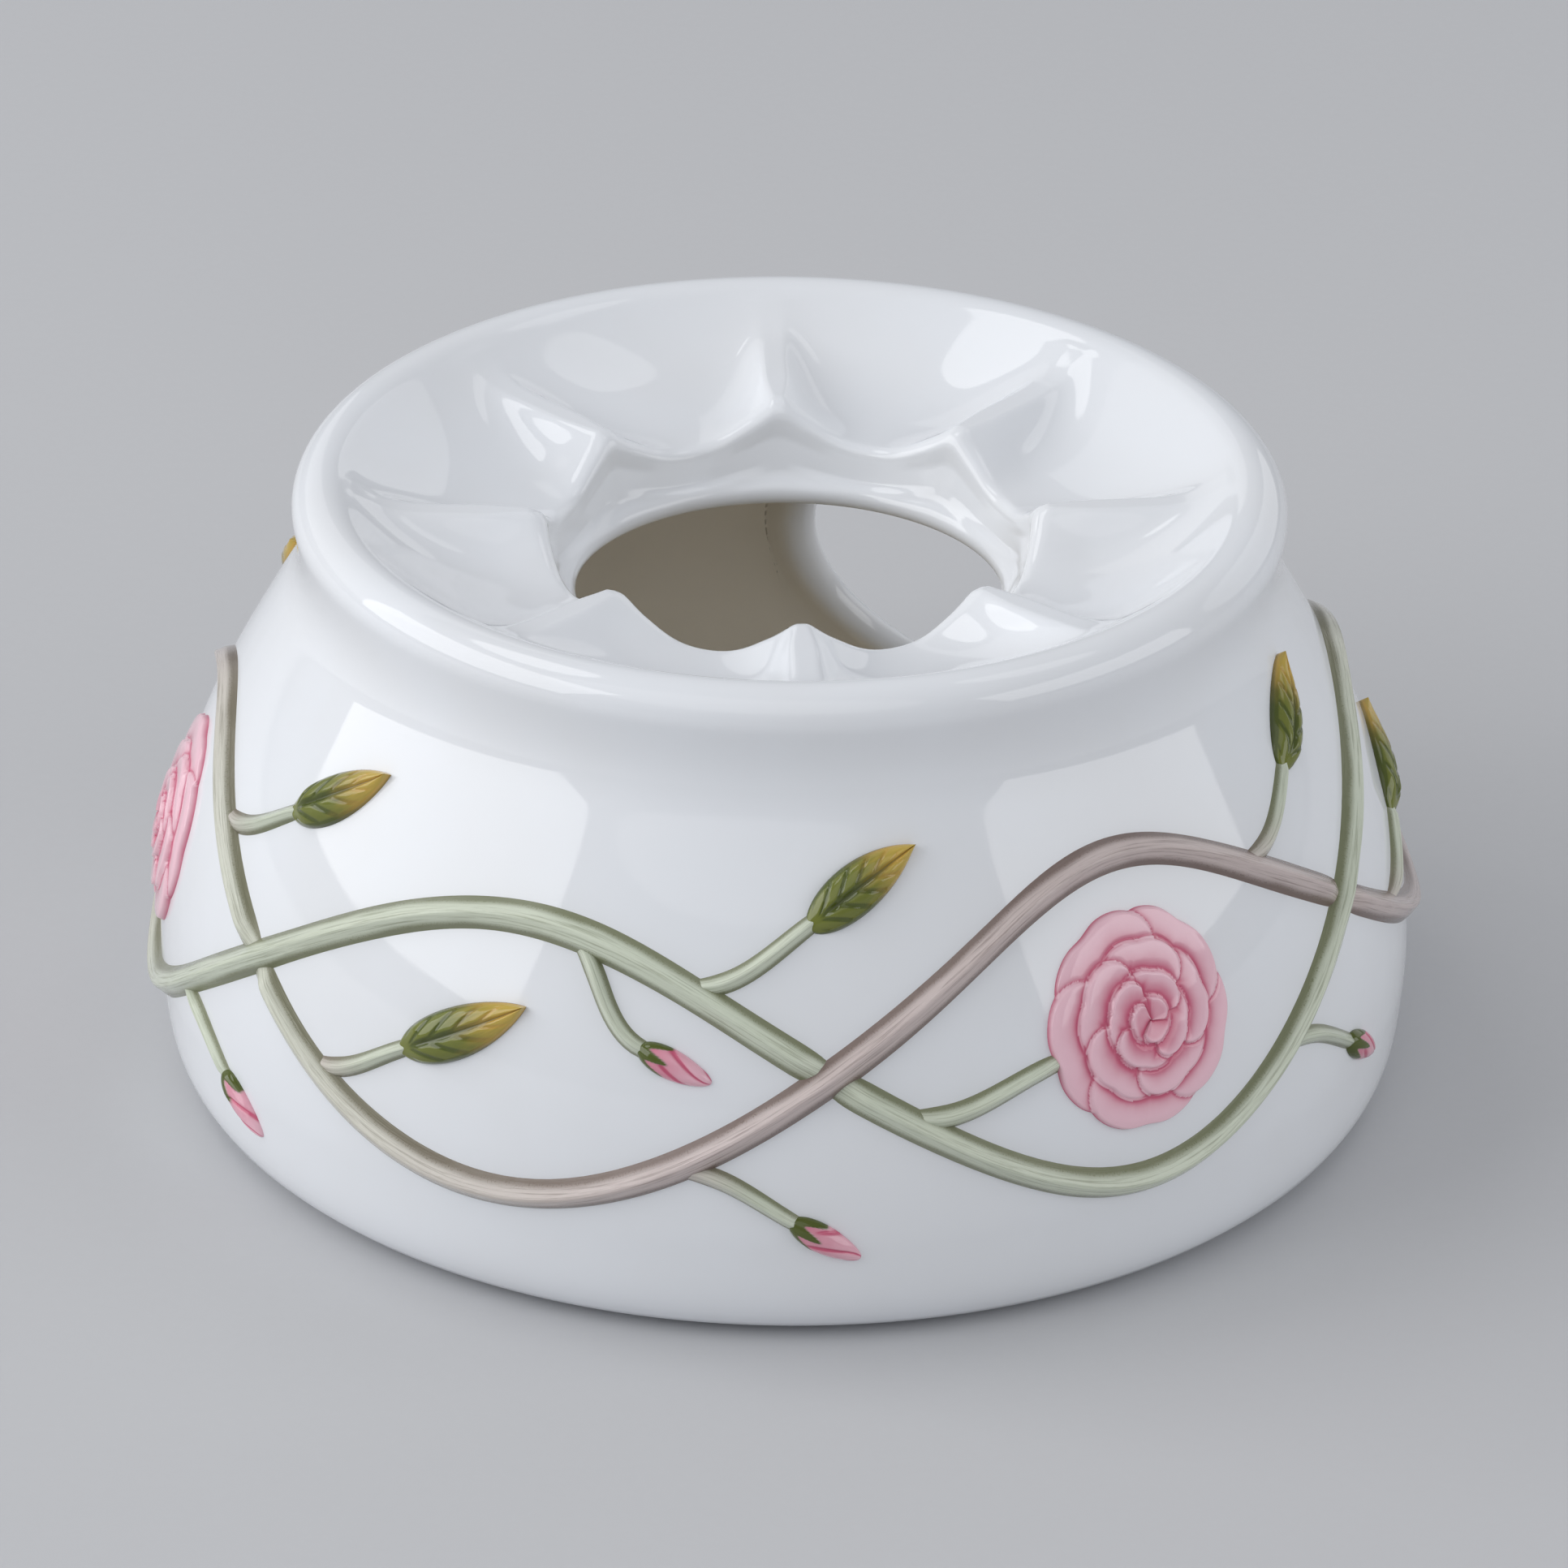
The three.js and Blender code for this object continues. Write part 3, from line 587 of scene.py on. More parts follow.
BODY_COLUMNS = 360
COLUMN_CROWDING = 0.5
WINDOW_CENTRE = 34 * MM
WINDOW_BLOCK = 0.85
WINDOW_REACH = 1.2
WINDOW_ROWS = 33
WINDOW_SPLAY_IN = 1.3 * MM
WINDOW_SPLAY_OUT = 0.9 * MM
REVEAL_ROUND = 0.475
REVEAL_CUTS = 9
REVEAL_FULLNESS = 0.7
QUARTER_TURN = np.linspace(0, 90, 8)[1:] * DEG


class BodyShape:
    """Rows of the body's outline, through a pocket and along a rib, and its window."""

    def __init__(self, sizes, flank):
        self.sizes, self.flank = sizes, flank
        self.rib_top = sizes.height - sizes.rib_drop
        self.lip_low = sizes.height - sizes.pocket_drop
        self.hole_low = sizes.height - HOLE_DROP
        self.lip_radius = sizes.hole_radius + LIP_FLARE
        self.window_middle = math.pi - sizes.window_turn
        reveal = sizes.wall * REVEAL_ROUND
        self.half_wide = sizes.window_width / 2 + reveal
        self.half_high = sizes.window_height / 2 + reveal
        self.half_turn = math.asin(self.half_wide / sizes.belly_radius)
        self.block_low = WINDOW_CENTRE - WINDOW_BLOCK * self.half_high
        self.block_high = WINDOW_CENTRE + WINDOW_BLOCK * self.half_high
        self.columns, self.block_left, self.block_right = self.window_columns()
        self.foot = sizes.belly_radius - FOOT_INSET
        self.lining = self.lining_line()
        self.rows = []
        self.foot_rows()
        self.flank_rows()
        self.rim_rows()
        self.dish_rows()
        self.under_rows()
        self.lining_rows()

    def lining_line(self):
        """Inside of the wall, from its top down to the floor, as (radius, height)."""
        wall = self.sizes.wall
        wall_line = [self.flank.point(v, -wall)
                     for v in np.linspace(self.flank.rise - wall, 0, 160)]
        r, z = wall_line[-1]
        corner = bezier([(r, z), (r, z - (z - FLOOR_TOP) * 0.6),
                         (r - CORNER * 0.4, FLOOR_TOP), (r - CORNER, FLOOR_TOP)], 60)
        return np.array(wall_line + corner[1:])

    def wall_at(self, z, inner):
        """The wall's point at a height, on the lining or on the flank."""
        line = self.lining[::-1] if inner else self.flank.line
        return float(np.interp(z, line[:, 1], line[:, 0])), z

    def collar_at(self, z):
        """Wall of the heat hole: a rounded ring at its foot, then a slightly flared wall."""
        up = z - self.hole_low
        start = RING_ROUND * 1.2
        share = (up - start) / (self.lip_low - self.hole_low - start)
        wall = RING_STEP + (LIP_FLARE - RING_STEP) * min(1.1, max(-0.3, share))
        bulge = max(0.0, RING_ROUND ** 2 - (up - RING_ROUND) ** 2)
        ring = RING_ROUND - math.sqrt(bulge) if up < 2 * RING_ROUND else RING_ROUND + up
        return self.sizes.hole_radius - soft_max(-wall, -ring, RING_BLEND), z

    def rounded(self, top, radius, turn):
        """A point on the rounding over the lip or over a rib's nose."""
        foot, _ = self.collar_at(top - radius)
        centre = self.lip_radius + radius
        return centre - (centre - foot) * math.sin(turn), top - radius * (1 - math.cos(turn))

    def add(self, pockets, ribs=None, part="plain", inside=0.0, bare=0.0):
        """Adds rows: their points in a pocket and, where they differ, on a rib's crest."""
        # inside is a row's share of the lining colour, the painted bounce light of the shaded
        # chamber.
        for pocket, rib in zip(pockets, ribs or pockets):
            self.rows.append((pocket, rib, part, inside, bare))

    def foot_rows(self):
        """The hollow underside and the bare ring that the warmer stands on."""
        foot, ring = self.foot, self.foot - FOOT_RING
        hollow = ring - FOOT_HOLLOW
        self.add([(r, FOOT_HOLLOW) for r in np.linspace(0, hollow, 6)])
        self.add([(hollow + FOOT_HOLLOW * share, FOOT_HOLLOW * (1 - share * share))
                  for share in (0.3, 0.6, 0.85)])
        self.add([(ring, 0.2 * MM), (ring + 0.3 * MM, 0.0), (ring + 2 * MM, 0.0),
                  (foot - 0.8 * MM, 0.0), (foot + 1.0 * MM, 0.0)], bare=1.0)

    def flank_rows(self):
        """The flank, with its rows even in height where the window is."""
        line, low, high = [tuple(p) for p in self.flank.line], self.block_low, self.block_high
        below = [p for p in line if p[0] > self.foot + 1.5 * MM and p[1] < low]
        self.add(even(below + [self.wall_at(low, False)], 15)[:-1], part="flank")
        self.outer_first = len(self.rows)
        self.add([self.wall_at(z, False) for z in np.linspace(low, high, WINDOW_ROWS)],
                 part="flank")
        self.outer_last = len(self.rows) - 1
        above = [p for p in line if high < p[1] < self.sizes.height - NECK_START]
        self.add(even([self.wall_at(high, False)] + above, 8)[1:], part="flank")

    def rim_rows(self):
        """The flank turns upright and meets the rolled rim with hardly any waist."""
        roll = self.sizes.rim_roll
        on_roll = arc((self.sizes.rim_radius - roll, self.sizes.height - roll), roll,
                      ROLL_START, ROLL_END, 22)
        leave, meet = self.rows[-1][0], on_roll[0]
        way = self.flank.way[np.searchsorted(self.flank.line[:, 1], leave[1])]
        neck = bezier([leave, (leave[0] + way[0] * NECK_PULL, leave[1] + way[1] * NECK_PULL),
                       (meet[0] + NECK_PULL * math.sin(ROLL_START),
                        meet[1] - NECK_PULL * math.cos(ROLL_START)), meet], 18)
        self.add(neck[1:] + on_roll[1:])

    def dish_rows(self):
        """The dish from the rim down to its lip and the collar, in a pocket and on a rib."""
        top = self.rows[-1][0]
        lip, nose = self.lip_radius + LIP_ROUND, self.lip_radius + NOSE_ROUND
        dish = even(bezier([top, (top[0] - DISH_RUN * math.cos(DISH_FALL),
                                  top[1] - DISH_RUN * math.sin(DISH_FALL)),
                            (lip + POCKET_RUN, self.lip_low), (lip, self.lip_low)], 200), 38)[1:]
        shares = [(r - lip) / (top[0] - lip) for r, _ in dish]
        ribs = [(nose + (top[0] - nose) * share,
                 soft_max(z, self.rib_top + CREST_RISE * share, DISH_BLEND))
                for share, (_, z) in zip(shares, dish)]
        self.add(dish, ribs, part="dish")
        self.add([self.rounded(self.lip_low, LIP_ROUND, a) for a in QUARTER_TURN],
                 [self.rounded(self.rib_top + 0.03 * MM, NOSE_ROUND, a) for a in QUARTER_TURN],
                 part="dish")
        end = self.hole_low + RING_ROUND
        collar = [[self.collar_at(start[1] + (end - start[1]) * share)
                   for share in np.linspace(0, 1, 17)[1:]] for start in self.rows[-1][:2]]
        self.add(*collar, part="dish")

    def under_rows(self):
        """The rounded lower edge of the hole and the underside of the dish."""
        hole, end = self.rows[-1][0]
        for a in QUARTER_TURN:
            self.add([(hole + RING_ROUND * (1 - math.cos(a)), end - RING_ROUND * math.sin(a))],
                     inside=0.5 * math.sin(a))
        below_lip = self.lip_low - self.sizes.wall
        under = bezier([(hole + RING_ROUND, self.hole_low), (hole + 4 * MM, self.hole_low),
                        (self.lip_radius + 2 * MM, below_lip - 0.5 * MM),
                        (self.lip_radius + 9 * MM, below_lip + 0.6 * MM)], 8)
        start, wall_top = under[-1], tuple(self.lining[0])
        ceiling = bezier([start, (start[0] + 8 * MM, start[1] + 1.0 * MM),
                          (wall_top[0] - 1.6 * MM, wall_top[1] + 3.2 * MM), wall_top], 14)
        self.add(under[1:] + ceiling[1:], inside=1.0)

    def lining_rows(self):
        """The inside of the wall, with the flank's heights at the window, and the floor."""
        line, low, high = [tuple(p) for p in self.lining], self.block_low, self.block_high
        upper = [p for p in line if p[1] > high] + [self.wall_at(high, True)]
        self.add(even(upper, 7)[1:-1], part="lining", inside=1.0)
        self.inner_last = len(self.rows)
        self.add([self.wall_at(z, True) for z in np.linspace(high, low, WINDOW_ROWS)],
                 part="lining", inside=1.0)
        self.inner_first = len(self.rows) - 1
        lower = [self.wall_at(low, True)] + [p for p in line if p[1] < low]
        self.add(even(lower, 14)[1:], part="lining", inside=1.0)
        self.add([(r, FLOOR_TOP) for r in np.linspace(line[-1][0], 0, 9)[1:]], inside=1.0)

    def rib_share(self, off, radius):
        """1 on a rib's crest, 0 in a pocket: broad at the nose, narrower up the dish."""
        out = smoothstep(self.lip_radius, self.lip_radius + RIB_CHANGE, radius)
        crest = CREST_WIDTH + CREST_GAIN * out
        spread = SPREAD_WIDTH - SPREAD_LOSS * out
        past = math.hypot(max(0.0, abs(off) * radius - crest), RIB_SOFTNESS) - RIB_SOFTNESS
        middle = smoothstep(0.35, 1.0, abs(off) * RIB_COUNT / math.pi)
        return math.exp(-past / spread) * (1 - middle)

    def column_angle(self, column):
        """Columns crowd together round the ribs."""
        plain = TURN * column / BODY_COLUMNS
        return plain - COLUMN_CROWDING / RIB_COUNT * math.sin(RIB_COUNT * plain)

    def window_share(self, turn, z):
        """Place in the window's frame: 1 is half a width or half a height."""
        off = (turn - self.window_middle + math.pi) % TURN - math.pi
        return off / self.half_turn, (z - WINDOW_CENTRE) / self.half_high

    def window_columns(self):
        """The columns of the block that the window takes out."""
        turns = [self.column_angle(c) + self.sizes.rib_turn for c in range(BODY_COLUMNS)]
        shares = [self.window_share(turn, WINDOW_CENTRE)[0] for turn in turns]
        inside = [c for c in range(BODY_COLUMNS) if abs(shares[c]) <= WINDOW_BLOCK]
        return inside, abs(shares[inside[0]]), abs(shares[inside[-1]])

    def warped(self, turn, z, radius, inner):
        """Moves a flank point so that the grid's lines run round the oval window."""
        aside, above = self.window_share(turn, z)
        block = self.block_left if aside < 0 else self.block_right
        ring = max(abs(aside) / block, abs(above) / WINDOW_BLOCK)
        reach = WINDOW_REACH / WINDOW_BLOCK
        if ring >= reach or ring < 0.9:
            return turn, z, radius
        norm = math.hypot(aside, above)
        share = (ring - 1) / (reach - 1)
        edge = 1 + (WINDOW_SPLAY_IN if inner else -WINDOW_SPLAY_OUT) / self.half_high
        scale = (edge + (reach * norm / ring - edge) * share) / norm
        new_radius, new_z = self.wall_at(WINDOW_CENTRE + self.half_high * above * scale, inner)
        straight = self.window_middle + math.asin(self.half_wide * aside * scale / new_radius)
        plain = turn + aside * (scale - 1) * self.half_turn
        return straight + (plain - straight) * smoothstep(0.0, 1.0, share), new_z, new_radius


def body_mesh(shape):
    """Spins the outline, lifts the ribs, then opens and rounds the window."""
    bm = bmesh.new()
    row_layer = bm.verts.layers.int.new("row")
    # inside: share of the lining colour, the painted bounce light of the shaded chamber.
    inside = bm.verts.layers.float.new("inside")
    bare = bm.verts.layers.float.new("bare")
    line = []
    for index, (pocket, _, _, in_share, bare_share) in enumerate(shape.rows):
        vert = bm.verts.new((0.0, -pocket[0], pocket[1]))
        vert[row_layer], vert[inside], vert[bare] = index, in_share, bare_share
        line.append(vert)
    spin_round(bm, line, BODY_COLUMNS)

    grid = {}
    for vert in bm.verts:
        turn = math.atan2(vert.co.x, -vert.co.y) % TURN
        column = round(turn / TURN * BODY_COLUMNS) % BODY_COLUMNS
        grid[vert[row_layer], column] = vert
    pitch = TURN / RIB_COUNT
    for (row, column), vert in grid.items():
        (r, z), rib, part, _, _ = shape.rows[row]
        if r < 1e-9:
            continue
        plain = shape.column_angle(column)
        turn = plain + shape.sizes.rib_turn
        if part == "dish":
            share = shape.rib_share((plain + pitch / 2) % pitch - pitch / 2, r)
            r, z = r + (rib[0] - r) * share, z + (rib[1] - z) * share
        elif part in ("flank", "lining"):
            turn, z, r = shape.warped(turn, z, r, part == "lining")
        vert.co = (r * math.sin(turn), -r * math.cos(turn), z)
    open_window(bm, shape, grid, inside)
    return bm


def open_window(bm, shape, grid, inside):
    """Takes out the block of faces in each wall and bridges them with a rounded reveal."""
    columns = shape.columns
    walls = ((shape.outer_first, shape.outer_last), (shape.inner_first, shape.inner_last))

    def loop_of(bottom, top):
        step = 1 if top > bottom else -1
        rows = list(range(bottom, top + step, step))
        path = [(bottom, c) for c in columns[:-1]]
        path += [(r, columns[-1]) for r in rows[:-1]]
        path += [(top, c) for c in reversed(columns[1:])]
        path += [(r, columns[0]) for r in reversed(rows[1:])]
        return [grid[key] for key in path]

    def edges_of(loop):
        return [bm.edges.get(pair) for pair in zip(loop, loop[1:] + loop[:1])]

    outer, inner = (loop_of(*wall) for wall in walls)
    doomed = []
    for wall in walls:
        block = {grid[r, c] for r in range(min(wall), max(wall) + 1) for c in columns}
        doomed += [f for f in bm.faces if all(v in block for v in f.verts)]
    bmesh.ops.delete(bm, geom=doomed, context="FACES")
    bridge = bmesh.ops.bridge_loops(bm, edges=edges_of(outer) + edges_of(inner))
    ends = [(p.co.copy(), q.co.copy()) for p, q in zip(outer, inner)]
    cut = bmesh.ops.subdivide_edges(bm, edges=bridge["edges"], cuts=REVEAL_CUTS,
                                    use_grid_fill=True)
    fresh = [v for v in cut["geom_inner"] if isinstance(v, bmesh.types.BMVert)]
    tree = KDTree(len(fresh))
    for index, vert in enumerate(fresh):
        tree.insert(vert.co, index)
    tree.balance()
    out = Vector((math.sin(shape.window_middle), -math.cos(shape.window_middle), 0))
    moves = []
    for p, q in ends:
        centre, half = (p + q) / 2, (q - p) / 2
        axis = out * centre.dot(out)
        axis.z = WINDOW_CENTRE
        inward = axis - centre
        inward -= half * (inward.dot(half) / half.length_squared)
        inward.normalize()
        for step in range(1, REVEAL_CUTS + 1):
            share = step / (REVEAL_CUTS + 1)
            _, found, _ = tree.find(p + (q - p) * share)
            bulge = half.length * math.sin(math.pi * share) ** REVEAL_FULLNESS
            place = centre - half * math.cos(math.pi * share) + inward * bulge
            moves.append((fresh[found], place, share))
    for vert, place, share in moves:
        vert.co = place
        # The reveal's inner half turns to the lining colour, the painted bounce light.
        vert[inside] = smoothstep(0.5, 1.0, share)


class WARMER_OT_body(bpy.types.Operator):
    """Makes the porcelain body with its rim, ribs, heat hole and rear window"""

    bl_idname = "warmer.body"
    bl_label = "Porcelain Body"

    def execute(self, context):
        sizes, colours = context.scene.warmer_sizes, context.scene.warmer_colours
        shape = BodyShape(sizes, Flank(sizes))
        finish_piece(context, body_mesh(shape), "porcelain_shell", porcelain_material(colours),
                     ["porcelain_body"], "warmer")
        return {"FINISHED"}


# Relief of two interlaced vines, laid out as in the frame

VINE_BASE = 3 * MM
BAND_CLEAR = 20 * MM
BAND_DRIFT = 3 * MM
BAND_HIGH = 75 * DEG
WINDOW_CLEAR = 8 * MM
EYE_COUNT = 5
ROSE_EYES = (1, 3)
ROSE_CLEAR = 4.2 * MM
ROSE_SWELL = 3 * MM
ROSE_STALK_FROM = 0.12
ROSE_STALK_TO = 12 * DEG
ROSE_STALK_WIDE = 1.08
ROSE_STALK_HIGH = 1.1
STALK_HIGH = 0.8
STALK_BACK = 4 * MM
STALK_UNDER = 1.8 * MM
STALK_ROOT_FADE = 0.8
SINK = 0.35 * MM
SKIRT = 1.30
STRIP = 0.9 * MM
ACROSS = 22
BEAD_TOP = 0.78
BEAD_STEPS = 6
UV_LENGTH = 10 * MM
LEAN_SEED = 50
TIP_ROUND = 0.8 * MM
DIP_START = 0.8 * MM
DIP_END = 5 * MM
FREE_END = 16 * MM
OVER_REACH = 3 * MM
OTHER_COLOUR = 0.75
VINE_SEED = 31
STALK_SEED = 400
ROSE_STALK_SEED = 500
LEAF_SEED = 700
BUD_SEED = 800
ROSE_SEED = 900

# Each sprig, in shares of its eye and of the vines' swing and slope.
SPRIGS = (
    {"side": -1, "from": -0.21, "to": -0.025, "rise": 1.1, "last": 1.0, "tip": "leaf"},
    {"side": 1, "from": -0.21, "to": -0.05, "rise": -1.06, "last": -1.0, "tip": "bud"},
    {"side": -1, "from": 0.18, "to": 0.34, "rise": -0.12, "last": 0.9, "tip": "leaf"},
    {"side": 1, "from": 0.6, "to": 0.72, "rise": 0.2, "last": -0.62, "tip": "bud"},
)


class Vines:
    """Where the vines run on the flank: u round the belly from the front, v up from it."""

    def __init__(self, sizes):
        self.sizes = sizes
        self.flank = Flank(sizes)
        belly = sizes.belly_radius
        middle = (math.pi - sizes.window_turn) * belly
        half = math.asin(sizes.window_width / 2 / belly) * belly + WINDOW_CLEAR
        self.start = middle + half - TURN * belly
        self.eye = (TURN * belly - 2 * half) / EYE_COUNT
        self.swing = (self.flank.rise - BAND_CLEAR - VINE_BASE) / 2
        self.slope = math.atan(self.swing * math.pi / self.eye)
        self.rose_radius = self.swing + ROSE_SWELL - sizes.vine_width / 2 - ROSE_CLEAR

    def crossing(self, index):
        return self.start + index * self.eye

    def band(self, u):
        return (VINE_BASE + self.swing
                + BAND_DRIFT * math.cos(u / self.sizes.belly_radius - BAND_HIGH))

    def height(self, u, side):
        eyes = (u - self.start) / self.eye
        wave = math.sin(eyes * math.pi)
        swell = ROSE_SWELL if math.floor(eyes) in ROSE_EYES else 0.0
        return self.band(u) + side * (self.swing * wave + swell * wave ** 3)

    def heading(self, u, side):
        step = 0.5 * MM
        return math.atan2(self.height(u + step, side) - self.height(u - step, side), 2 * step)


def wander(seed, count=3):
    """A slow random wave along a piece, about -1 to 1."""
    dice = random.Random(seed)
    waves = [(dice.uniform(0.05, 0.22), dice.uniform(0, TURN)) for _ in range(count)]
    return lambda run: sum(math.sin(run / MM * rate + shift) for rate, shift in waves) / count


def top_and_back(t, share):
    """Across a piece: -1 to 1 over its top, which is a share of t, then back underneath."""
    if t <= share:
        return 2 * t / share - 1, False
    return 1 - 2 * (t - share) / (1 - share), True


def bead(vines, path, width, height, taper, seed, fade):
    """A rounded bead along a path of (u, v) points, sunk a little into the flank."""
    line, run = along(path)
    way = headings(line, run)
    total = float(run[-1])
    swell, lean = wander(seed), wander(seed + LEAN_SEED)
    steps = max(BEAD_STEPS, round(total / STRIP))

    def place(s, t):
        at = s * total
        u, v, du, dv = (float(np.interp(at, run, col)) for col in (*line.T, *way.T))
        if s in (0.0, 1.0):
            return vines.flank.lay(u, v, -SINK)
        wide, high = taper(at, total)
        q, back = top_and_back(t, BEAD_TOP)
        side = q * width / 2 * SKIRT * wide * (1 + 0.07 * swell(at))
        lift = -SINK
        if not back:
            tall = height * high * (1 + 0.08 * lean(at))
            crown = max(0.0, 1 - q * q) ** 1.55
            ridge = 0.06 * math.cos(q * 9 + 1.6 * lean(at * 0.7)) * crown
            lift = (tall + SINK * 0.6) * (crown + ridge) - SINK * 0.6
        return vines.flank.lay(u - dv * side, v + du * side, lift)

    return skin_of(steps, ACROSS, place, {"fade": lambda s, t: fade(s)},
                   (total / UV_LENGTH, 1 / BEAD_TOP))


def blunt(at, total):
    """Full size along a piece but for its ends, which round off."""
    size = 1.0
    for gap in (at, total - at):
        if gap < TIP_ROUND:
            rest = 1 - gap / TIP_ROUND
            size *= math.sqrt(max(0.0, 1 - rest * rest))
    return size


def fade_over(start, end, span):
    """How far a stem has turned to the other colour, from one share of it to another."""
    return lambda s: start + (end - start) * smoothstep(*span, s)


class WARMER_OT_vines(bpy.types.Operator):
    """Makes the green and the brown vine, each in the lengths between its crossings"""

    bl_idname = "warmer.vines"
    bl_label = "Vines"

    def execute(self, context):
        sizes, colours = context.scene.warmer_sizes, context.scene.warmer_colours
        vines = Vines(sizes)
        green = stem_material("Vine Green Glaze", colours)
        taupe = stem_material("Vine Taupe Glaze", colours, brown=True)
        kinds = (("green", 1, (0, 1, 3, 5), green), ("brown", -1, (0, 2, 4, 5), taupe))
        fades = (fade_over(OTHER_COLOUR, 0.0, (0.0, 0.4)),
                 fade_over(0.0, OTHER_COLOUR, (0.55, 1.0)))
        for kind, side, ends, material in kinds:
            for index, (first, last) in enumerate(zip(ends, ends[1:]), 1):
                path = self.path(vines, side, first, last)
                bm = bead(vines, path, sizes.vine_width, sizes.vine_height,
                          self.taper(vines, path, first, last), VINE_SEED * index + side,
                          fades[index % 2])
                finish_piece(context, bm, f"{kind}_vine_{index}", material,
                             [f"vine_{kind}_{index}"], "warmer")
        return {"FINISHED"}

    @staticmethod
    def path(vines, side, first, last):
        count = int((last - first) * 90)
        us = np.linspace(vines.crossing(first), vines.crossing(last), count)
        return [(u, vines.height(u, side)) for u in us]

    @staticmethod
    def taper(vines, path, first, last):
        """A vine dips under the other, rises over it, and thins out at its free ends."""
        line, run = along(path)
        over = [float(np.interp(vines.crossing(index), line[:, 0], run))
                for index in range(first + 1, last)]

        def size(at, total):
            wide = high = blunt(at, total)
            for gap, end in ((at, first), (total - at, last)):
                if end in (0, EYE_COUNT):
                    thin = 0.30 + 0.70 * smoothstep(0.0, FREE_END, gap)
                    wide, high = wide * thin, high * thin
                else:
                    high *= 0.25 + 0.75 * smoothstep(DIP_START, DIP_END, gap)
            for place in over:
                high *= 1 + 0.16 * math.exp(-((at - place) / OVER_REACH) ** 2)
            return wide, high
        return size


def sprig_list(vines):
    """The sprigs in the frame's order: round the inner crossings, then in the open eyes."""
    places = [(index, SPRIGS[kind]) for index in range(1, EYE_COUNT) for kind in (0, 1)]
    places += [(eye, SPRIGS[kind]) for eye in range(EYE_COUNT) if eye not in ROSE_EYES
               for kind in (2, 3)]
    sprigs = []
    for index, sprig in places:
        to = vines.crossing(index + sprig["to"])
        sprigs.append({"tip": sprig["tip"], "root": vines.crossing(index + sprig["from"]),
                       "side": sprig["side"] * (-1 if index % 2 else 1),
                       "end": (to, vines.band(to) + sprig["rise"] * vines.swing),
                       "last": sprig["last"] * vines.slope})
    return sprigs


def stalk_path(vines, root, side, end, last):
    """From the crest of a vine, along it and away, to just under the stalk's leaf or bud."""
    start = Vector((root - STALK_BACK, vines.height(root - STALK_BACK, side), 0))
    way = vines.heading(root - STALK_BACK, side)
    finish = Vector((*end, 0))
    reach = (finish - start).length
    away = Vector((math.cos(last), math.sin(last), 0))
    first = start + Vector((math.cos(way), math.sin(way), 0)) * reach * 0.42
    second = finish - away * reach * 0.38
    under = finish + away * STALK_UNDER
    bent = interpolate_bezier(start, first, second, finish, 60)
    return [(p.x, p.y) for p in (*bent, under)]


def stalk_taper(low, reach):
    """Grows out of the vine, thins along the way, and sinks to a low end."""
    def taper(at, total):
        thin = (1 - 0.22 * at / total) * blunt(at, total)
        wide = (0.40 + 0.60 * smoothstep(0.0, 8 * MM, at)) * thin
        high = (0.12 + 0.88 * smoothstep(1 * MM, 9.5 * MM, at)) * thin
        return wide, high * (low + (1 - low) * smoothstep(0.3 * reach, reach, total - at))
    return taper


def stalk_fade(side, end):
    """A stalk starts in the colour of the vine that it grows from."""
    return fade_over(0.0 if side > 0 else STALK_ROOT_FADE, 0.0, (0.1, end))


class WARMER_OT_stalks(bpy.types.Operator):
    """Makes the side stalks that carry leaves and buds, and the two rose stems"""

    bl_idname = "warmer.stalks"
    bl_label = "Stalks"

    def execute(self, context):
        sizes = context.scene.warmer_sizes
        vines = Vines(sizes)
        material = stem_material("Stalk Glaze", context.scene.warmer_colours)
        wide, tall = sizes.stalk_width, sizes.vine_height * STALK_HIGH
        for index, sprig in enumerate(sprig_list(vines), 1):
            path = stalk_path(vines, sprig["root"], sprig["side"], sprig["end"], sprig["last"])
            bm = bead(vines, path, wide, tall, stalk_taper(0.55, 3 * MM), STALK_SEED + index,
                      stalk_fade(sprig["side"], 0.7))
            finish_piece(context, bm, f"sprig_stalk_{index}", material, [f"stalk_{index}"],
                         "warmer")
        reach = vines.rose_radius - 3 * MM
        for index, eye in enumerate(ROSE_EYES, 1):
            side = 1 if eye % 2 else -1
            centre = vines.crossing(eye + 0.5)
            end = (centre - reach * math.cos(ROSE_STALK_TO),
                   vines.band(centre) - reach * math.sin(ROSE_STALK_TO))
            path = stalk_path(vines, vines.crossing(eye + ROSE_STALK_FROM), side, end, 5 * DEG)
            bm = bead(vines, path, wide * ROSE_STALK_WIDE, tall * ROSE_STALK_HIGH,
                      stalk_taper(0.2, 7 * MM), ROSE_STALK_SEED + index, stalk_fade(side, 0.8))
            finish_piece(context, bm, f"rose_stem_{index}", material, [f"rose_stalk_{index}"],
                         "warmer")
        return {"FINISHED"}


# Leaves, buds and roses

TIP_TOP = 0.82
TIP_SINK = 0.12 * MM
LEAF_TALL = 2.1 * MM
LEAF_BACK = 0.8 * MM
LEAF_VEINS = 5.5
MIDRIB_DEPTH = 0.55 * MM
VEIN_DEPTH = 0.20 * MM
BUD_TALL = 2.3 * MM
BUD_BACK = 0.7 * MM
CALYX_RISE = 0.28 * MM
FOLD_DEPTH = 0.38 * MM
FOLD_PITCH = 0.62
ROSE_SINK = 0.15 * MM
ROSE_DOME = 0.6


def laid(vines, at, turn, x, y, lift):
    """A point of a flat shape that starts at a place on the flank and points along turn."""
    u = at[0] + x * math.cos(turn) - y * math.sin(turn)
    v = at[1] + x * math.sin(turn) + y * math.cos(turn)
    return vines.flank.lay(u, v, lift)


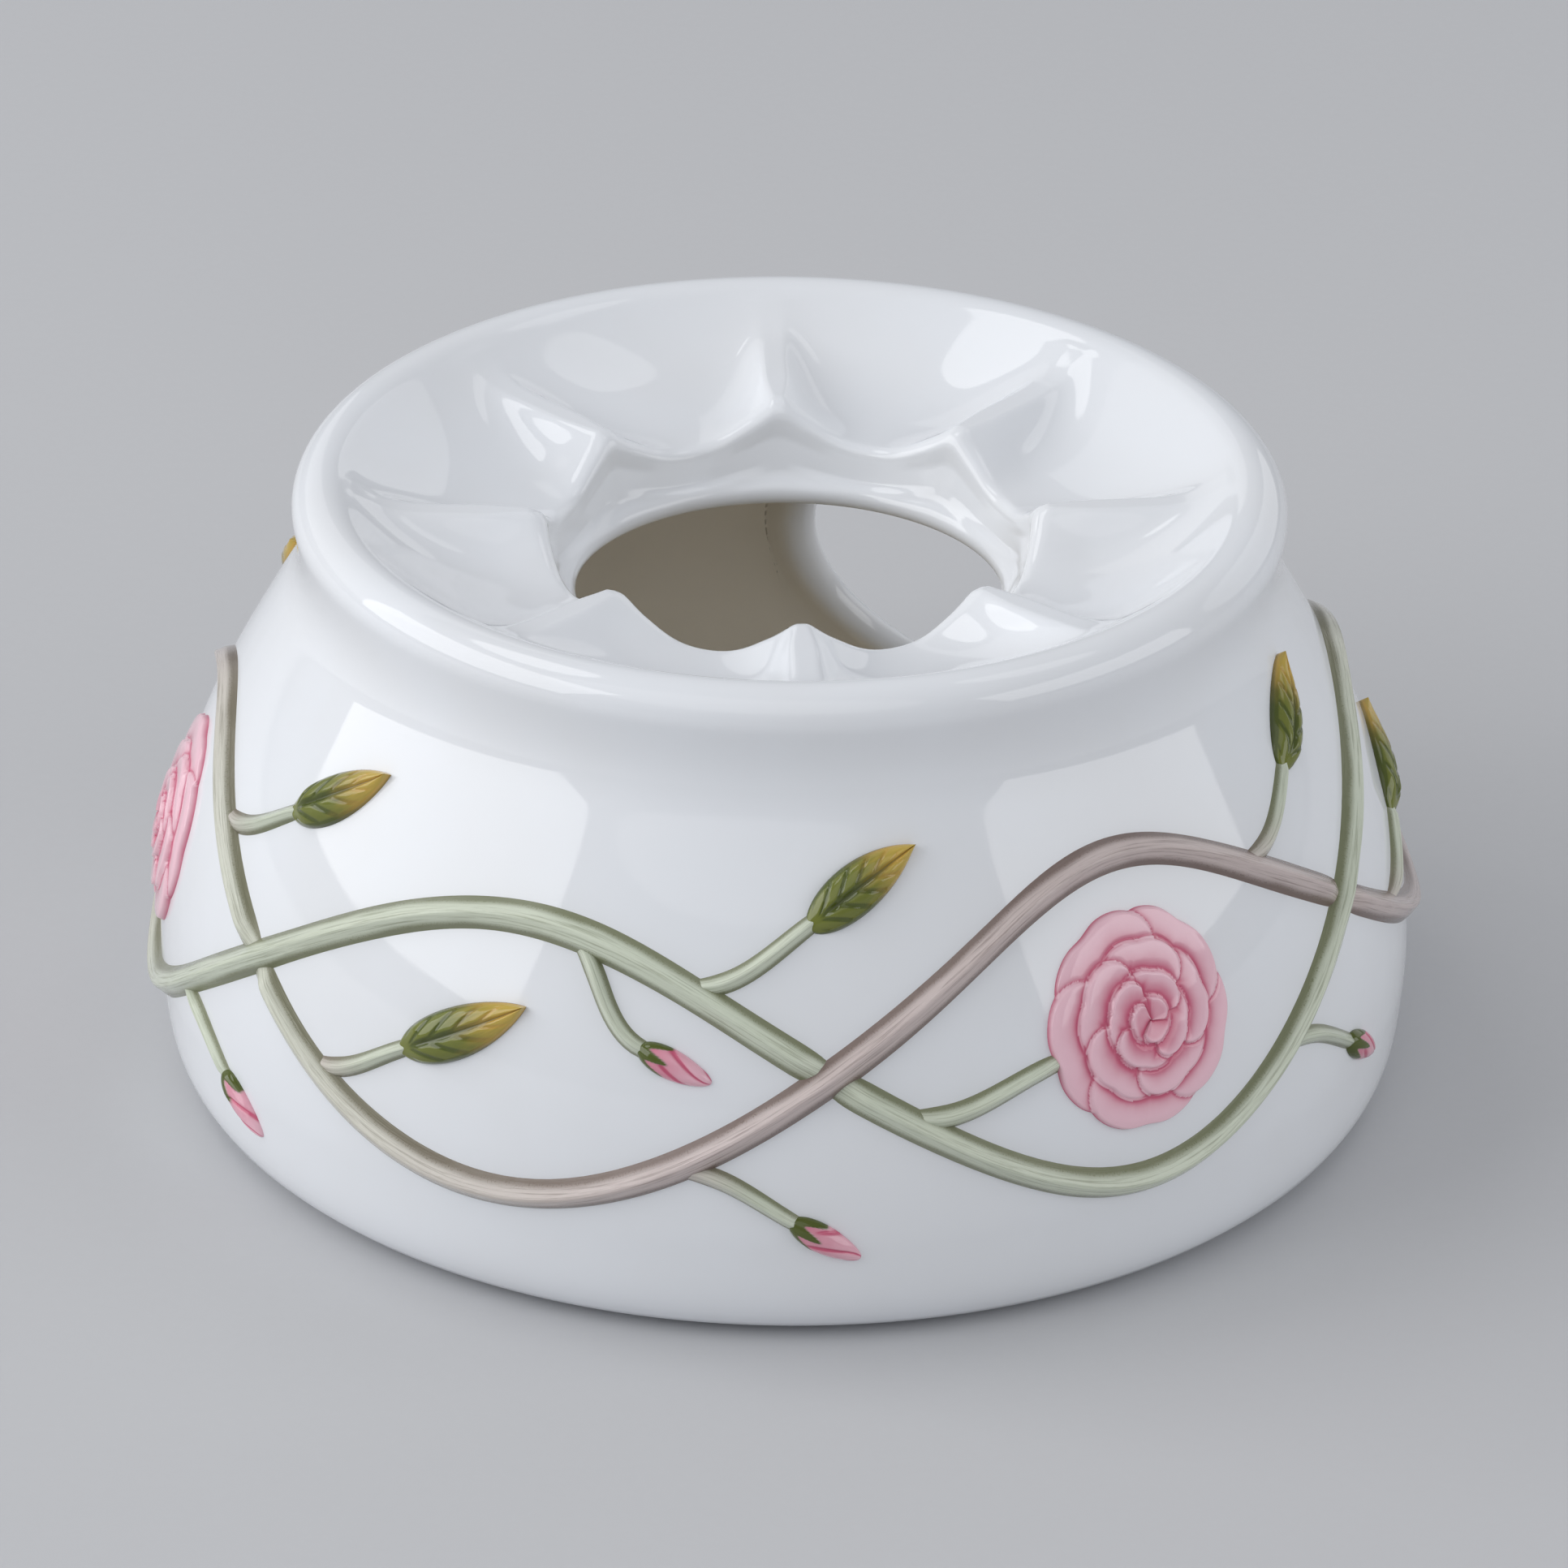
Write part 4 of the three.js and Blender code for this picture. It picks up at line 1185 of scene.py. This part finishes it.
def leaf_width(s):
    """Half width of a leaf along its length, round at the stalk and drawn out at the tip."""
    return 1.52 * s ** 0.52 * (1 - s) ** 0.86 * (1 + 0.25 * s)


def leaf_mesh(vines, at, turn, seed):
    sizes = vines.sizes
    dice = random.Random(seed)
    bend = dice.uniform(-0.10, 0.10)
    long = sizes.leaf_length * dice.uniform(0.97, 1.05)
    veins = LEAF_VEINS + dice.uniform(-0.4, 0.4)

    def crease(s, q):
        """Depth of the midrib's and the side veins' grooves, 0 to 1."""
        rib = math.exp(-(q / (0.10 + 0.05 * (1 - s))) ** 2) * smoothstep(0.08, 0.26, s)
        slant = (s * veins - abs(q) * 1.5) % 1.0
        side = math.exp(-((slant - 0.5) / 0.13) ** 2)
        side *= smoothstep(0.06, 0.22, abs(q)) * (1 - smoothstep(0.70, 0.96, abs(q)))
        side *= smoothstep(0.04, 0.2, s) * (1 - smoothstep(0.72, 0.92, s))
        return rib, side

    def place(s, t):
        q, back = top_and_back(t, TIP_TOP)
        half = sizes.leaf_width / 2 * leaf_width(s) if 0 < s < 1 else 0.0
        lift = -SINK
        if not back:
            rib, side = crease(s, q)
            body = smoothstep(0.0, 0.25, s) * (1 - 0.55 * smoothstep(0.45, 1.0, s))
            crown = max(0.0, 1 - abs(q) ** 2.6) ** 0.62
            lift = LEAF_TALL * crown * (0.35 + 0.65 * body) - TIP_SINK
            lift -= (MIDRIB_DEPTH * rib * (1 - 0.5 * s) + VEIN_DEPTH * side) * crown
        aside = q * half + bend * long * (s - 0.3) ** 2
        return laid(vines, at, turn, s * long - LEAF_BACK, aside, lift)

    # Painted shade in the midrib's and side veins' grooves, along with the veins; darker along
    # the edges too.
    def tone(s, t):
        q, _ = top_and_back(t, TIP_TOP)
        rib, side = crease(s, q)
        return min(1.0, max(rib * 0.95, side * 0.7, smoothstep(0.78, 1.0, abs(q)) * 0.9))

    return skin_of(72, 56, place, {"tone": tone})


def bud_mesh(vines, at, turn, seed):
    sizes = vines.sizes
    dice = random.Random(seed)
    twist = dice.choice((-1, 1))
    spin = dice.uniform(0, 1)

    def fold(s, q):
        """Depth of the groove where one furled petal laps the next."""
        phase = (q * 0.55 * twist + s * 1.15 + spin) % FOLD_PITCH
        return math.exp(-((phase - FOLD_PITCH / 2) / 0.055) ** 2) * smoothstep(0.28, 0.42, s)

    def cup(s, q):
        """1 on the green cup round the bud's base, which ends in three points."""
        points = 0.30 + 0.13 * math.cos(q * 2.2 * math.pi)
        return 1 - smoothstep(points - 0.02, points + 0.02, s)

    def place(s, t):
        q, back = top_and_back(t, TIP_TOP)
        width = 1.30 * s ** 0.55 * (1 - s) ** 0.55 * (1.16 - 0.42 * s) if 0 < s < 1 else 0.0
        lift = -SINK
        if not back:
            crown = max(0.0, 1 - abs(q) ** 2.2) ** 0.6 * min(1.0, width) ** 0.8
            lift = BUD_TALL * crown - TIP_SINK
            lift += (CALYX_RISE * cup(s, q) - FOLD_DEPTH * fold(s, q)) * crown
        return laid(vines, at, turn, s * sizes.bud_length - BUD_BACK,
                    q * sizes.bud_width / 2 * width, lift)

    # Painted shade: deeper pink in the grooves where one furled petal laps the next, and deeper
    # towards the base.
    def tone(s, t):
        q, _ = top_and_back(t, TIP_TOP)
        return min(1.0, 0.25 + 0.75 * fold(s, q) + 0.45 * (1 - s) * (1 - cup(s, q)))

    def calyx(s, t):
        q, _ = top_and_back(t, TIP_TOP)
        return cup(s, q)

    return skin_of(44, 40, place, {"tone": tone, "calyx": calyx})


PETAL_RINGS = (
    # count, reach, turn, base height, tilt, span: from the outside in
    (5, 1.00, 0.31, 0.55, 0.30, 0.98),
    (5, 0.72, 0.94, 1.05, 0.32, 0.96),
    (4, 0.45, 0.20, 1.50, 0.32, 1.20),
    (3, 0.23, 0.75, 1.85, 0.30, 1.50),
)
ROSE_TOP = 3.2
ROSE_FACE = 0.90
CREASE_WIDTH = 0.035
CREASE_DEPTH = 0.20


def petal_edge(ring, index, phi):
    """Where a petal ends in a direction, and how far to its side that is."""
    count, reach, turn, _, _, span = ring
    side = ((phi - turn - TURN * index / count + math.pi) % TURN - math.pi) / span
    notch = 0.035 * math.exp(-(side / 0.16) ** 2)
    return reach * (1 - 0.05 * side ** 2 - 0.30 * min(1.0, abs(side)) ** 5 - notch), side


def rose_edge(phi):
    """Outline of the whole rose: the farthest outer petal."""
    ring = PETAL_RINGS[0]
    edges = (petal_edge(ring, index, phi) for index in range(ring[0]))
    return max(edge for edge, side in edges if abs(side) < 1)


def petal_at(rho, phi):
    """Height over the ground and tone of the highest petal at a place on the rose. The tone is
    painted shade: deepest in the crease under a higher petal and on a petal's dropping rim,
    deeper towards its base and on one side; pale just inside the rim, partly a painted
    highlight.
    """
    best, tone, level = 0.0, 1.0, 0.0
    passed = []
    for ring in PETAL_RINGS:
        count, _, _, base, tilt, span = ring
        for index in range(count):
            edge, side = petal_edge(ring, index, phi)
            past = max(rho - edge, (abs(side) - 1) * span * rho)
            if past >= 0:
                passed.append((past, base + tilt * max(-1.0, min(1.0, side))))
                continue
            part = rho / edge
            mask = smoothstep(0.0, 0.04, edge - rho) * smoothstep(1.0, 0.94, abs(side))
            curl = 0.50 * part ** 2 - 0.22 * smoothstep(0.88, 1.0, part)
            lift = (base + curl + tilt * side + 0.14 * math.cos(side * 2.2)) * mask
            if lift > best:
                best, level = lift, base + tilt * side
                # Painted shade: deeper towards the petal's base and on one side, pale towards
                # its rim, deep on the rim's drop.
                tone = 0.02 + 0.44 * (1 - smoothstep(0.62, 1.0, part))
                tone += 0.22 * smoothstep(0.0, -1.0, side)
                tone = max(tone, 0.9 * (1 - mask))
    # Painted shade in the crease just outside the edge of a higher petal; it also sets the
    # crease's dip.
    crease = max((math.exp(-past / CREASE_WIDTH) for past, height in passed if height > level),
                 default=0.0)
    return best - CREASE_DEPTH * crease, min(1.0, tone + 0.62 * crease)


def rose_mesh(vines, at, seed):
    scale = vines.sizes.rose_height / ROSE_TOP
    flip = 1 if seed % 2 else -1
    turn = random.Random(seed).uniform(0, TURN)
    looks = {}

    def look(s, t):
        """The rose's edge in a direction, and the height and tone of the petal there."""
        key = (round(s, 5), round(t, 5))
        if key not in looks:
            phi = (flip * t * TURN + turn) % TURN
            edge = rose_edge(phi)
            looks[key] = (edge, *petal_at(min(s / ROSE_FACE, 1.0) * edge, phi))
        return looks[key]

    def place(s, t):
        edge, lift, _ = look(s, t)
        if s > ROSE_FACE:
            rho, high = edge * (1 - s) / (1 - ROSE_FACE), -SINK
        else:
            rho = edge * s / ROSE_FACE
            high = (lift + ROSE_DOME * (1 - rho * rho) * smoothstep(1.0, 0.9, rho)) * scale
            high -= ROSE_SINK * smoothstep(0.97, 1.0, s / ROSE_FACE)
        reach = vines.rose_radius * rho
        x, y = reach * math.cos(t * TURN), reach * math.sin(t * TURN)
        return laid(vines, at, 0.0, x, y, high)

    def tone(s, t):
        # Painted shade: the rose's edge, where it drops to the flank, takes the deepest tone.
        return 1.0 if s > ROSE_FACE else look(s, t)[2]

    return skin_of(110, 330, place, {"tone": tone})


def finish_tips(context, tip, mesh_of, material, seed):
    """Makes each leaf or each bud at the end of its stalk."""
    vines = Vines(context.scene.warmer_sizes)
    sprigs = [sprig for sprig in sprig_list(vines) if sprig["tip"] == tip]
    for index, sprig in enumerate(sprigs, 1):
        bm = mesh_of(vines, sprig["end"], sprig["last"], seed + index)
        finish_piece(context, bm, f"sprig_{tip}_{index}", material, [f"{tip}_{index}"],
                     "warmer")


class WARMER_OT_leaves(bpy.types.Operator):
    """Makes the leaves at the ends of their stalks"""

    bl_idname = "warmer.leaves"
    bl_label = "Leaves"

    def execute(self, context):
        material = leaf_material(context.scene.warmer_colours)
        finish_tips(context, "leaf", leaf_mesh, material, LEAF_SEED)
        return {"FINISHED"}


class WARMER_OT_buds(bpy.types.Operator):
    """Makes the furled buds at the ends of their stalks"""

    bl_idname = "warmer.buds"
    bl_label = "Buds"

    def execute(self, context):
        material = petal_material("Bud Glaze", context.scene.warmer_colours, True)
        finish_tips(context, "bud", bud_mesh, material, BUD_SEED)
        return {"FINISHED"}


class WARMER_OT_roses(bpy.types.Operator):
    """Makes the two open roses, with four rings of overlapping petals"""

    bl_idname = "warmer.roses"
    bl_label = "Roses"

    def execute(self, context):
        vines = Vines(context.scene.warmer_sizes)
        material = petal_material("Rose Glaze", context.scene.warmer_colours, False)
        for index, eye in enumerate(ROSE_EYES, 1):
            centre = vines.crossing(eye + 0.5)
            bm = rose_mesh(vines, (centre, vines.band(centre)), ROSE_SEED + index)
            finish_piece(context, bm, f"rose_head_{index}", material, [f"rose_{index}"],
                         "warmer")
        return {"FINISHED"}


# Tealight

CUP_SIDES = 192
WAX_SIDES = 96
FOIL = 0.4 * MM
CUP_FLOOR = 0.35 * MM
CUP_CORNER = 1.2 * MM
LIP_ROLL = 0.45 * MM
FLUTES = 48
FLUTE_DEPTH = 0.09 * MM
CANDLE_LIFT = FLOOR_TOP + 0.3 * MM
WAX_FLOOR = 1.2 * MM
WAX_LEVEL = 12.5 * MM
PLATE_RADIUS = 7.8 * MM
PLATE_TOP = 1.5 * MM
NECK_TOP = 5.5 * MM
WICK_RADIUS = 0.7 * MM
WICK_SHOWS = 6 * MM
WICK_BEND = 0.28 * MM
RIPPLE = 0.05 * MM
PLAIT = 1.9 / MM


def turned(outline, sides, closed):
    """A shape turned round the upright axis from an outline of (radius, height)."""
    bm = bmesh.new()
    line = [bm.verts.new((r, 0.0, z + CANDLE_LIFT)) for r, z in outline]
    spin_round(bm, line, sides, closed)
    return bm


def cup_mesh(sizes):
    """A drawn foil cup with a ribbed base, soft flutes up its side and a rolled lip."""
    r, h = sizes.cup_radius, sizes.cup_height
    inner, corner = r - FOIL, r - CUP_CORNER
    outline = [(0, CUP_FLOOR), (r * 0.45, CUP_FLOOR), (r * 0.5, 0.1 * MM), (r * 0.55, CUP_FLOOR),
               (r - 3.2 * MM, CUP_FLOOR), (r - 2.6 * MM, 0.0), (corner, 0.0)]
    outline += arc((corner, CUP_CORNER), CUP_CORNER, -70 * DEG, 0, 6)
    outline += [(r, z) for z in np.linspace(2 * MM, h - 1.6 * MM, 9)]
    outline += arc((r, h - LIP_ROLL), LIP_ROLL, -60 * DEG, math.pi, 14)
    outline += [(inner, h - LIP_ROLL - 0.6 * MM), (inner, 2 * MM), (inner - 0.8 * MM, 0.9 * MM),
                (r - 3 * MM, CUP_FLOOR + FOIL), (0, CUP_FLOOR + FOIL)]
    bm = turned(outline, CUP_SIDES, False)
    for vert in bm.verts:
        z = vert.co.z - CANDLE_LIFT
        reach = math.hypot(vert.co.x, vert.co.y)
        if reach > inner - 0.2 * MM and 1.4 * MM < z < h - 1.5 * MM:
            turn = math.atan2(vert.co.y, vert.co.x)
            fade = smoothstep(1.4 * MM, 4 * MM, z) * smoothstep(h - 1.5 * MM, h - 4 * MM, z)
            vert.co.xy *= (reach + FLUTE_DEPTH * (math.cos(FLUTES * turn) - 1) * fade) / reach
    return bm


def wax_mesh(sizes):
    """Poured wax: it climbs the foil and the wick, dips between and has a faint ripple."""
    outer = sizes.cup_radius - FOIL - 0.3 * MM
    bore = WICK_RADIUS + 0.3 * MM
    neck = bore + 0.8 * MM
    outline = []
    for r in np.linspace(bore, outer, 30):
        climb = 0.55 * math.exp(-(outer - r) / (0.8 * MM))
        climb += 0.5 * math.exp(-(r - bore) / (1.1 * MM))
        dip = 0.25 + 0.35 * math.sin(math.pi * (r - bore) / (outer - bore)) ** 2
        outline.append((r, WAX_LEVEL + (climb - dip) * MM))
    outline += [(outer, 2.2 * MM), (outer - 0.9 * MM, WAX_FLOOR), (PLATE_RADIUS, WAX_FLOOR),
                (PLATE_RADIUS, PLATE_TOP), (neck, PLATE_TOP), (neck, NECK_TOP), (bore, NECK_TOP)]
    bm = turned(outline, WAX_SIDES, True)
    for vert in bm.verts:
        reach = math.hypot(vert.co.x, vert.co.y)
        on_top = vert.co.z - CANDLE_LIFT > WAX_LEVEL - 1.2 * MM
        if on_top and bore + 0.5 * MM < reach < outer - 0.5 * MM:
            turn = math.atan2(vert.co.y, vert.co.x)
            share = (reach - bore) / (outer - bore)
            vert.co.z += RIPPLE * math.sin(5 * turn + 9 * share) * math.sin(math.pi * share)
    return bm


def wick_mesh():
    """Three strands plaited round each other, a little bent at the top."""
    bottom = PLATE_TOP
    long = WAX_LEVEL + WICK_SHOWS - bottom - 0.2 * MM

    def place(s, t):
        z = bottom + s * long
        phi = t * TURN
        strand = abs(math.cos(1.5 * (phi - z * PLAIT)))
        cross = abs(math.cos(1.5 * (phi + z * PLAIT) + 0.8))
        size = 0 if s in (0.0, 1.0) else WICK_RADIUS
        r = size * (0.72 + 0.26 * max(strand, cross) ** 0.8)
        bend = WICK_BEND * max(0.0, (z - WAX_LEVEL) / WICK_SHOWS) ** 2
        return Vector((bend + r * math.cos(phi), r * math.sin(phi), CANDLE_LIFT + z))

    return skin_of(110, 28, place)


class WARMER_OT_tealight(bpy.types.Operator):
    """Makes the tealight: foil cup, wax and plaited wick, and finishes the wick's plate"""

    bl_idname = "warmer.tealight"
    bl_label = "Tealight"

    def execute(self, context):
        sizes, colours = context.scene.warmer_sizes, context.scene.warmer_colours
        foil = metal_material("Cup Foil", colours.foil, 0.22, 0.25)
        tin = metal_material("Holder Tin", colours.tin, 0.30, 0.2)
        finish_piece(context, cup_mesh(sizes), "foil_cup", foil, ["candle_cup"],
                     "tealight")
        finish_piece(context, wax_mesh(sizes), "poured_wax", wax_material(colours),
                     ["candle_wax"], "tealight")
        finish_piece(context, wick_mesh(), "plaited_wick", cotton_material(colours), ["wick"],
                     "tealight")
        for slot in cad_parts["wick_holder"].material_slots:
            slot.material = tin
        return {"FINISHED"}


# Stage

AIM = Vector((0, 0, 0.05))
SKY = (0.9, 0.93, 1.0, 1)
SKY_STRENGTH = 0.31
FLOOR_REACH = 4.0
LAMPS = (
    # name, place, size, watts, shape
    ("left window", (-1.38, -0.30, 0.73), (1.8, 1.1), 15.0, "RECTANGLE"),
    ("rear left window", (-0.92, 0.98, 0.80), (1.8, 1.0), 2.5, "RECTANGLE"),
    ("right window", (1.22, -0.38, 0.52), (1.3, 0.7), 4.8, "RECTANGLE"),
    ("rear right window", (0.95, 1.00, 0.55), (1.4, 0.9), 1.9, "ELLIPSE"),
    ("overhead", (-0.25, -0.95, 1.25), (2.1, 1.4), 4.2, "ELLIPSE"),
    ("ceiling left", (-0.64, 0.26, 1.34), (0.80, 0.42), 1.9, "ELLIPSE"),
    ("ceiling right", (0.55, 0.36, 1.34), (0.60, 0.40), 0.6, "ELLIPSE"),
)
CAMERA_PLACE = (0, -0.884, 0.5025)
CAMERA_TILT = 62.1 * DEG
CAMERA_ROLL = 0.82 * DEG
CAMERA_LENS = 187.0
CAMERA_SENSOR = 36.0
CAMERA_SHIFT = -0.0011


def placed(context, name, data):
    """An object in the scene for a floor, a lamp or a camera."""
    item = bpy.data.objects.new(name, data)
    context.scene.collection.objects.link(item)
    return item


class WARMER_OT_stage(bpy.types.Operator):
    """Sets the pale floor, the soft lamps and the camera"""

    bl_idname = "warmer.stage"
    bl_label = "Stage"

    def execute(self, context):
        scene = context.scene
        bm = bmesh.new()
        bmesh.ops.create_grid(bm, x_segments=8, y_segments=8, size=FLOOR_REACH)
        mesh = bpy.data.meshes.new("floor")
        bm.to_mesh(mesh)
        bm.free()
        floor = placed(context, "floor", mesh)
        mesh.materials.append(paper_material(scene.warmer_colours))

        scene.world = bpy.data.worlds.new("Studio")
        scene.world.use_nodes = True
        sky = scene.world.node_tree.nodes["Background"]
        sky.inputs["Color"].default_value = SKY
        sky.inputs["Strength"].default_value = SKY_STRENGTH

        for name, place, size, watts, shape in LAMPS:
            lamp = bpy.data.lights.new(name, "AREA")
            lamp.shape = shape
            lamp.size, lamp.size_y = size
            lamp.energy = watts
            lit = placed(context, name, lamp)
            lit.location = place
            lit.rotation_euler = (AIM - Vector(place)).to_track_quat("-Z", "Y").to_euler()

        camera = bpy.data.cameras.new("camera")
        camera.lens = CAMERA_LENS
        camera.sensor_width = CAMERA_SENSOR
        camera.shift_x = CAMERA_SHIFT
        camera.clip_start = 0.05
        seen = placed(context, "camera", camera)
        tilt = Matrix.Rotation(CAMERA_TILT, 4, "X") @ Matrix.Rotation(CAMERA_ROLL, 4, "Z")
        seen.matrix_world = Matrix.Translation(CAMERA_PLACE) @ tilt
        scene.camera = seen
        scene.view_settings.view_transform = "Standard"
        return {"FINISHED"}


PIECES = (
    ("warmer.body", "Porcelain Body"),
    ("warmer.vines", "Vines"),
    ("warmer.stalks", "Stalks"),
    ("warmer.leaves", "Leaves"),
    ("warmer.buds", "Buds"),
    ("warmer.roses", "Roses"),
    ("warmer.tealight", "Tealight"),
    ("warmer.stage", "Stage"),
)


class WARMER_PT_panel(bpy.types.Panel):
    """Lists the warmer's pieces, sizes and colours"""

    bl_idname = "WARMER_PT_panel"
    bl_label = "Teapot Warmer"
    bl_space_type = "VIEW_3D"
    bl_region_type = "UI"
    bl_category = "Warmer"

    def draw(self, context):
        for operator, label in PIECES:
            self.layout.operator(operator, text=label)
        for group in (context.scene.warmer_sizes, context.scene.warmer_colours):
            column = self.layout.column()
            for key in group.__annotations__:
                column.prop(group, key)


CLASSES = (
    WarmerSizes, WarmerColours, WARMER_OT_body, WARMER_OT_vines, WARMER_OT_stalks,
    WARMER_OT_leaves, WARMER_OT_buds, WARMER_OT_roses, WARMER_OT_tealight, WARMER_OT_stage,
    WARMER_PT_panel,
)


def register():
    for cls in CLASSES:
        bpy.utils.register_class(cls)
    bpy.types.Scene.warmer_sizes = bpy.props.PointerProperty(type=WarmerSizes)
    bpy.types.Scene.warmer_colours = bpy.props.PointerProperty(type=WarmerColours)


def unregister():
    del bpy.types.Scene.warmer_colours
    del bpy.types.Scene.warmer_sizes
    for cls in reversed(CLASSES):
        bpy.utils.unregister_class(cls)


def main():
    register()
    bpy.ops.warmer.body()
    bpy.ops.warmer.vines()
    bpy.ops.warmer.stalks()
    bpy.ops.warmer.leaves()
    bpy.ops.warmer.buds()
    bpy.ops.warmer.roses()
    bpy.ops.warmer.tealight()
    bpy.ops.warmer.stage()


if __name__ == "__main__":
    main()
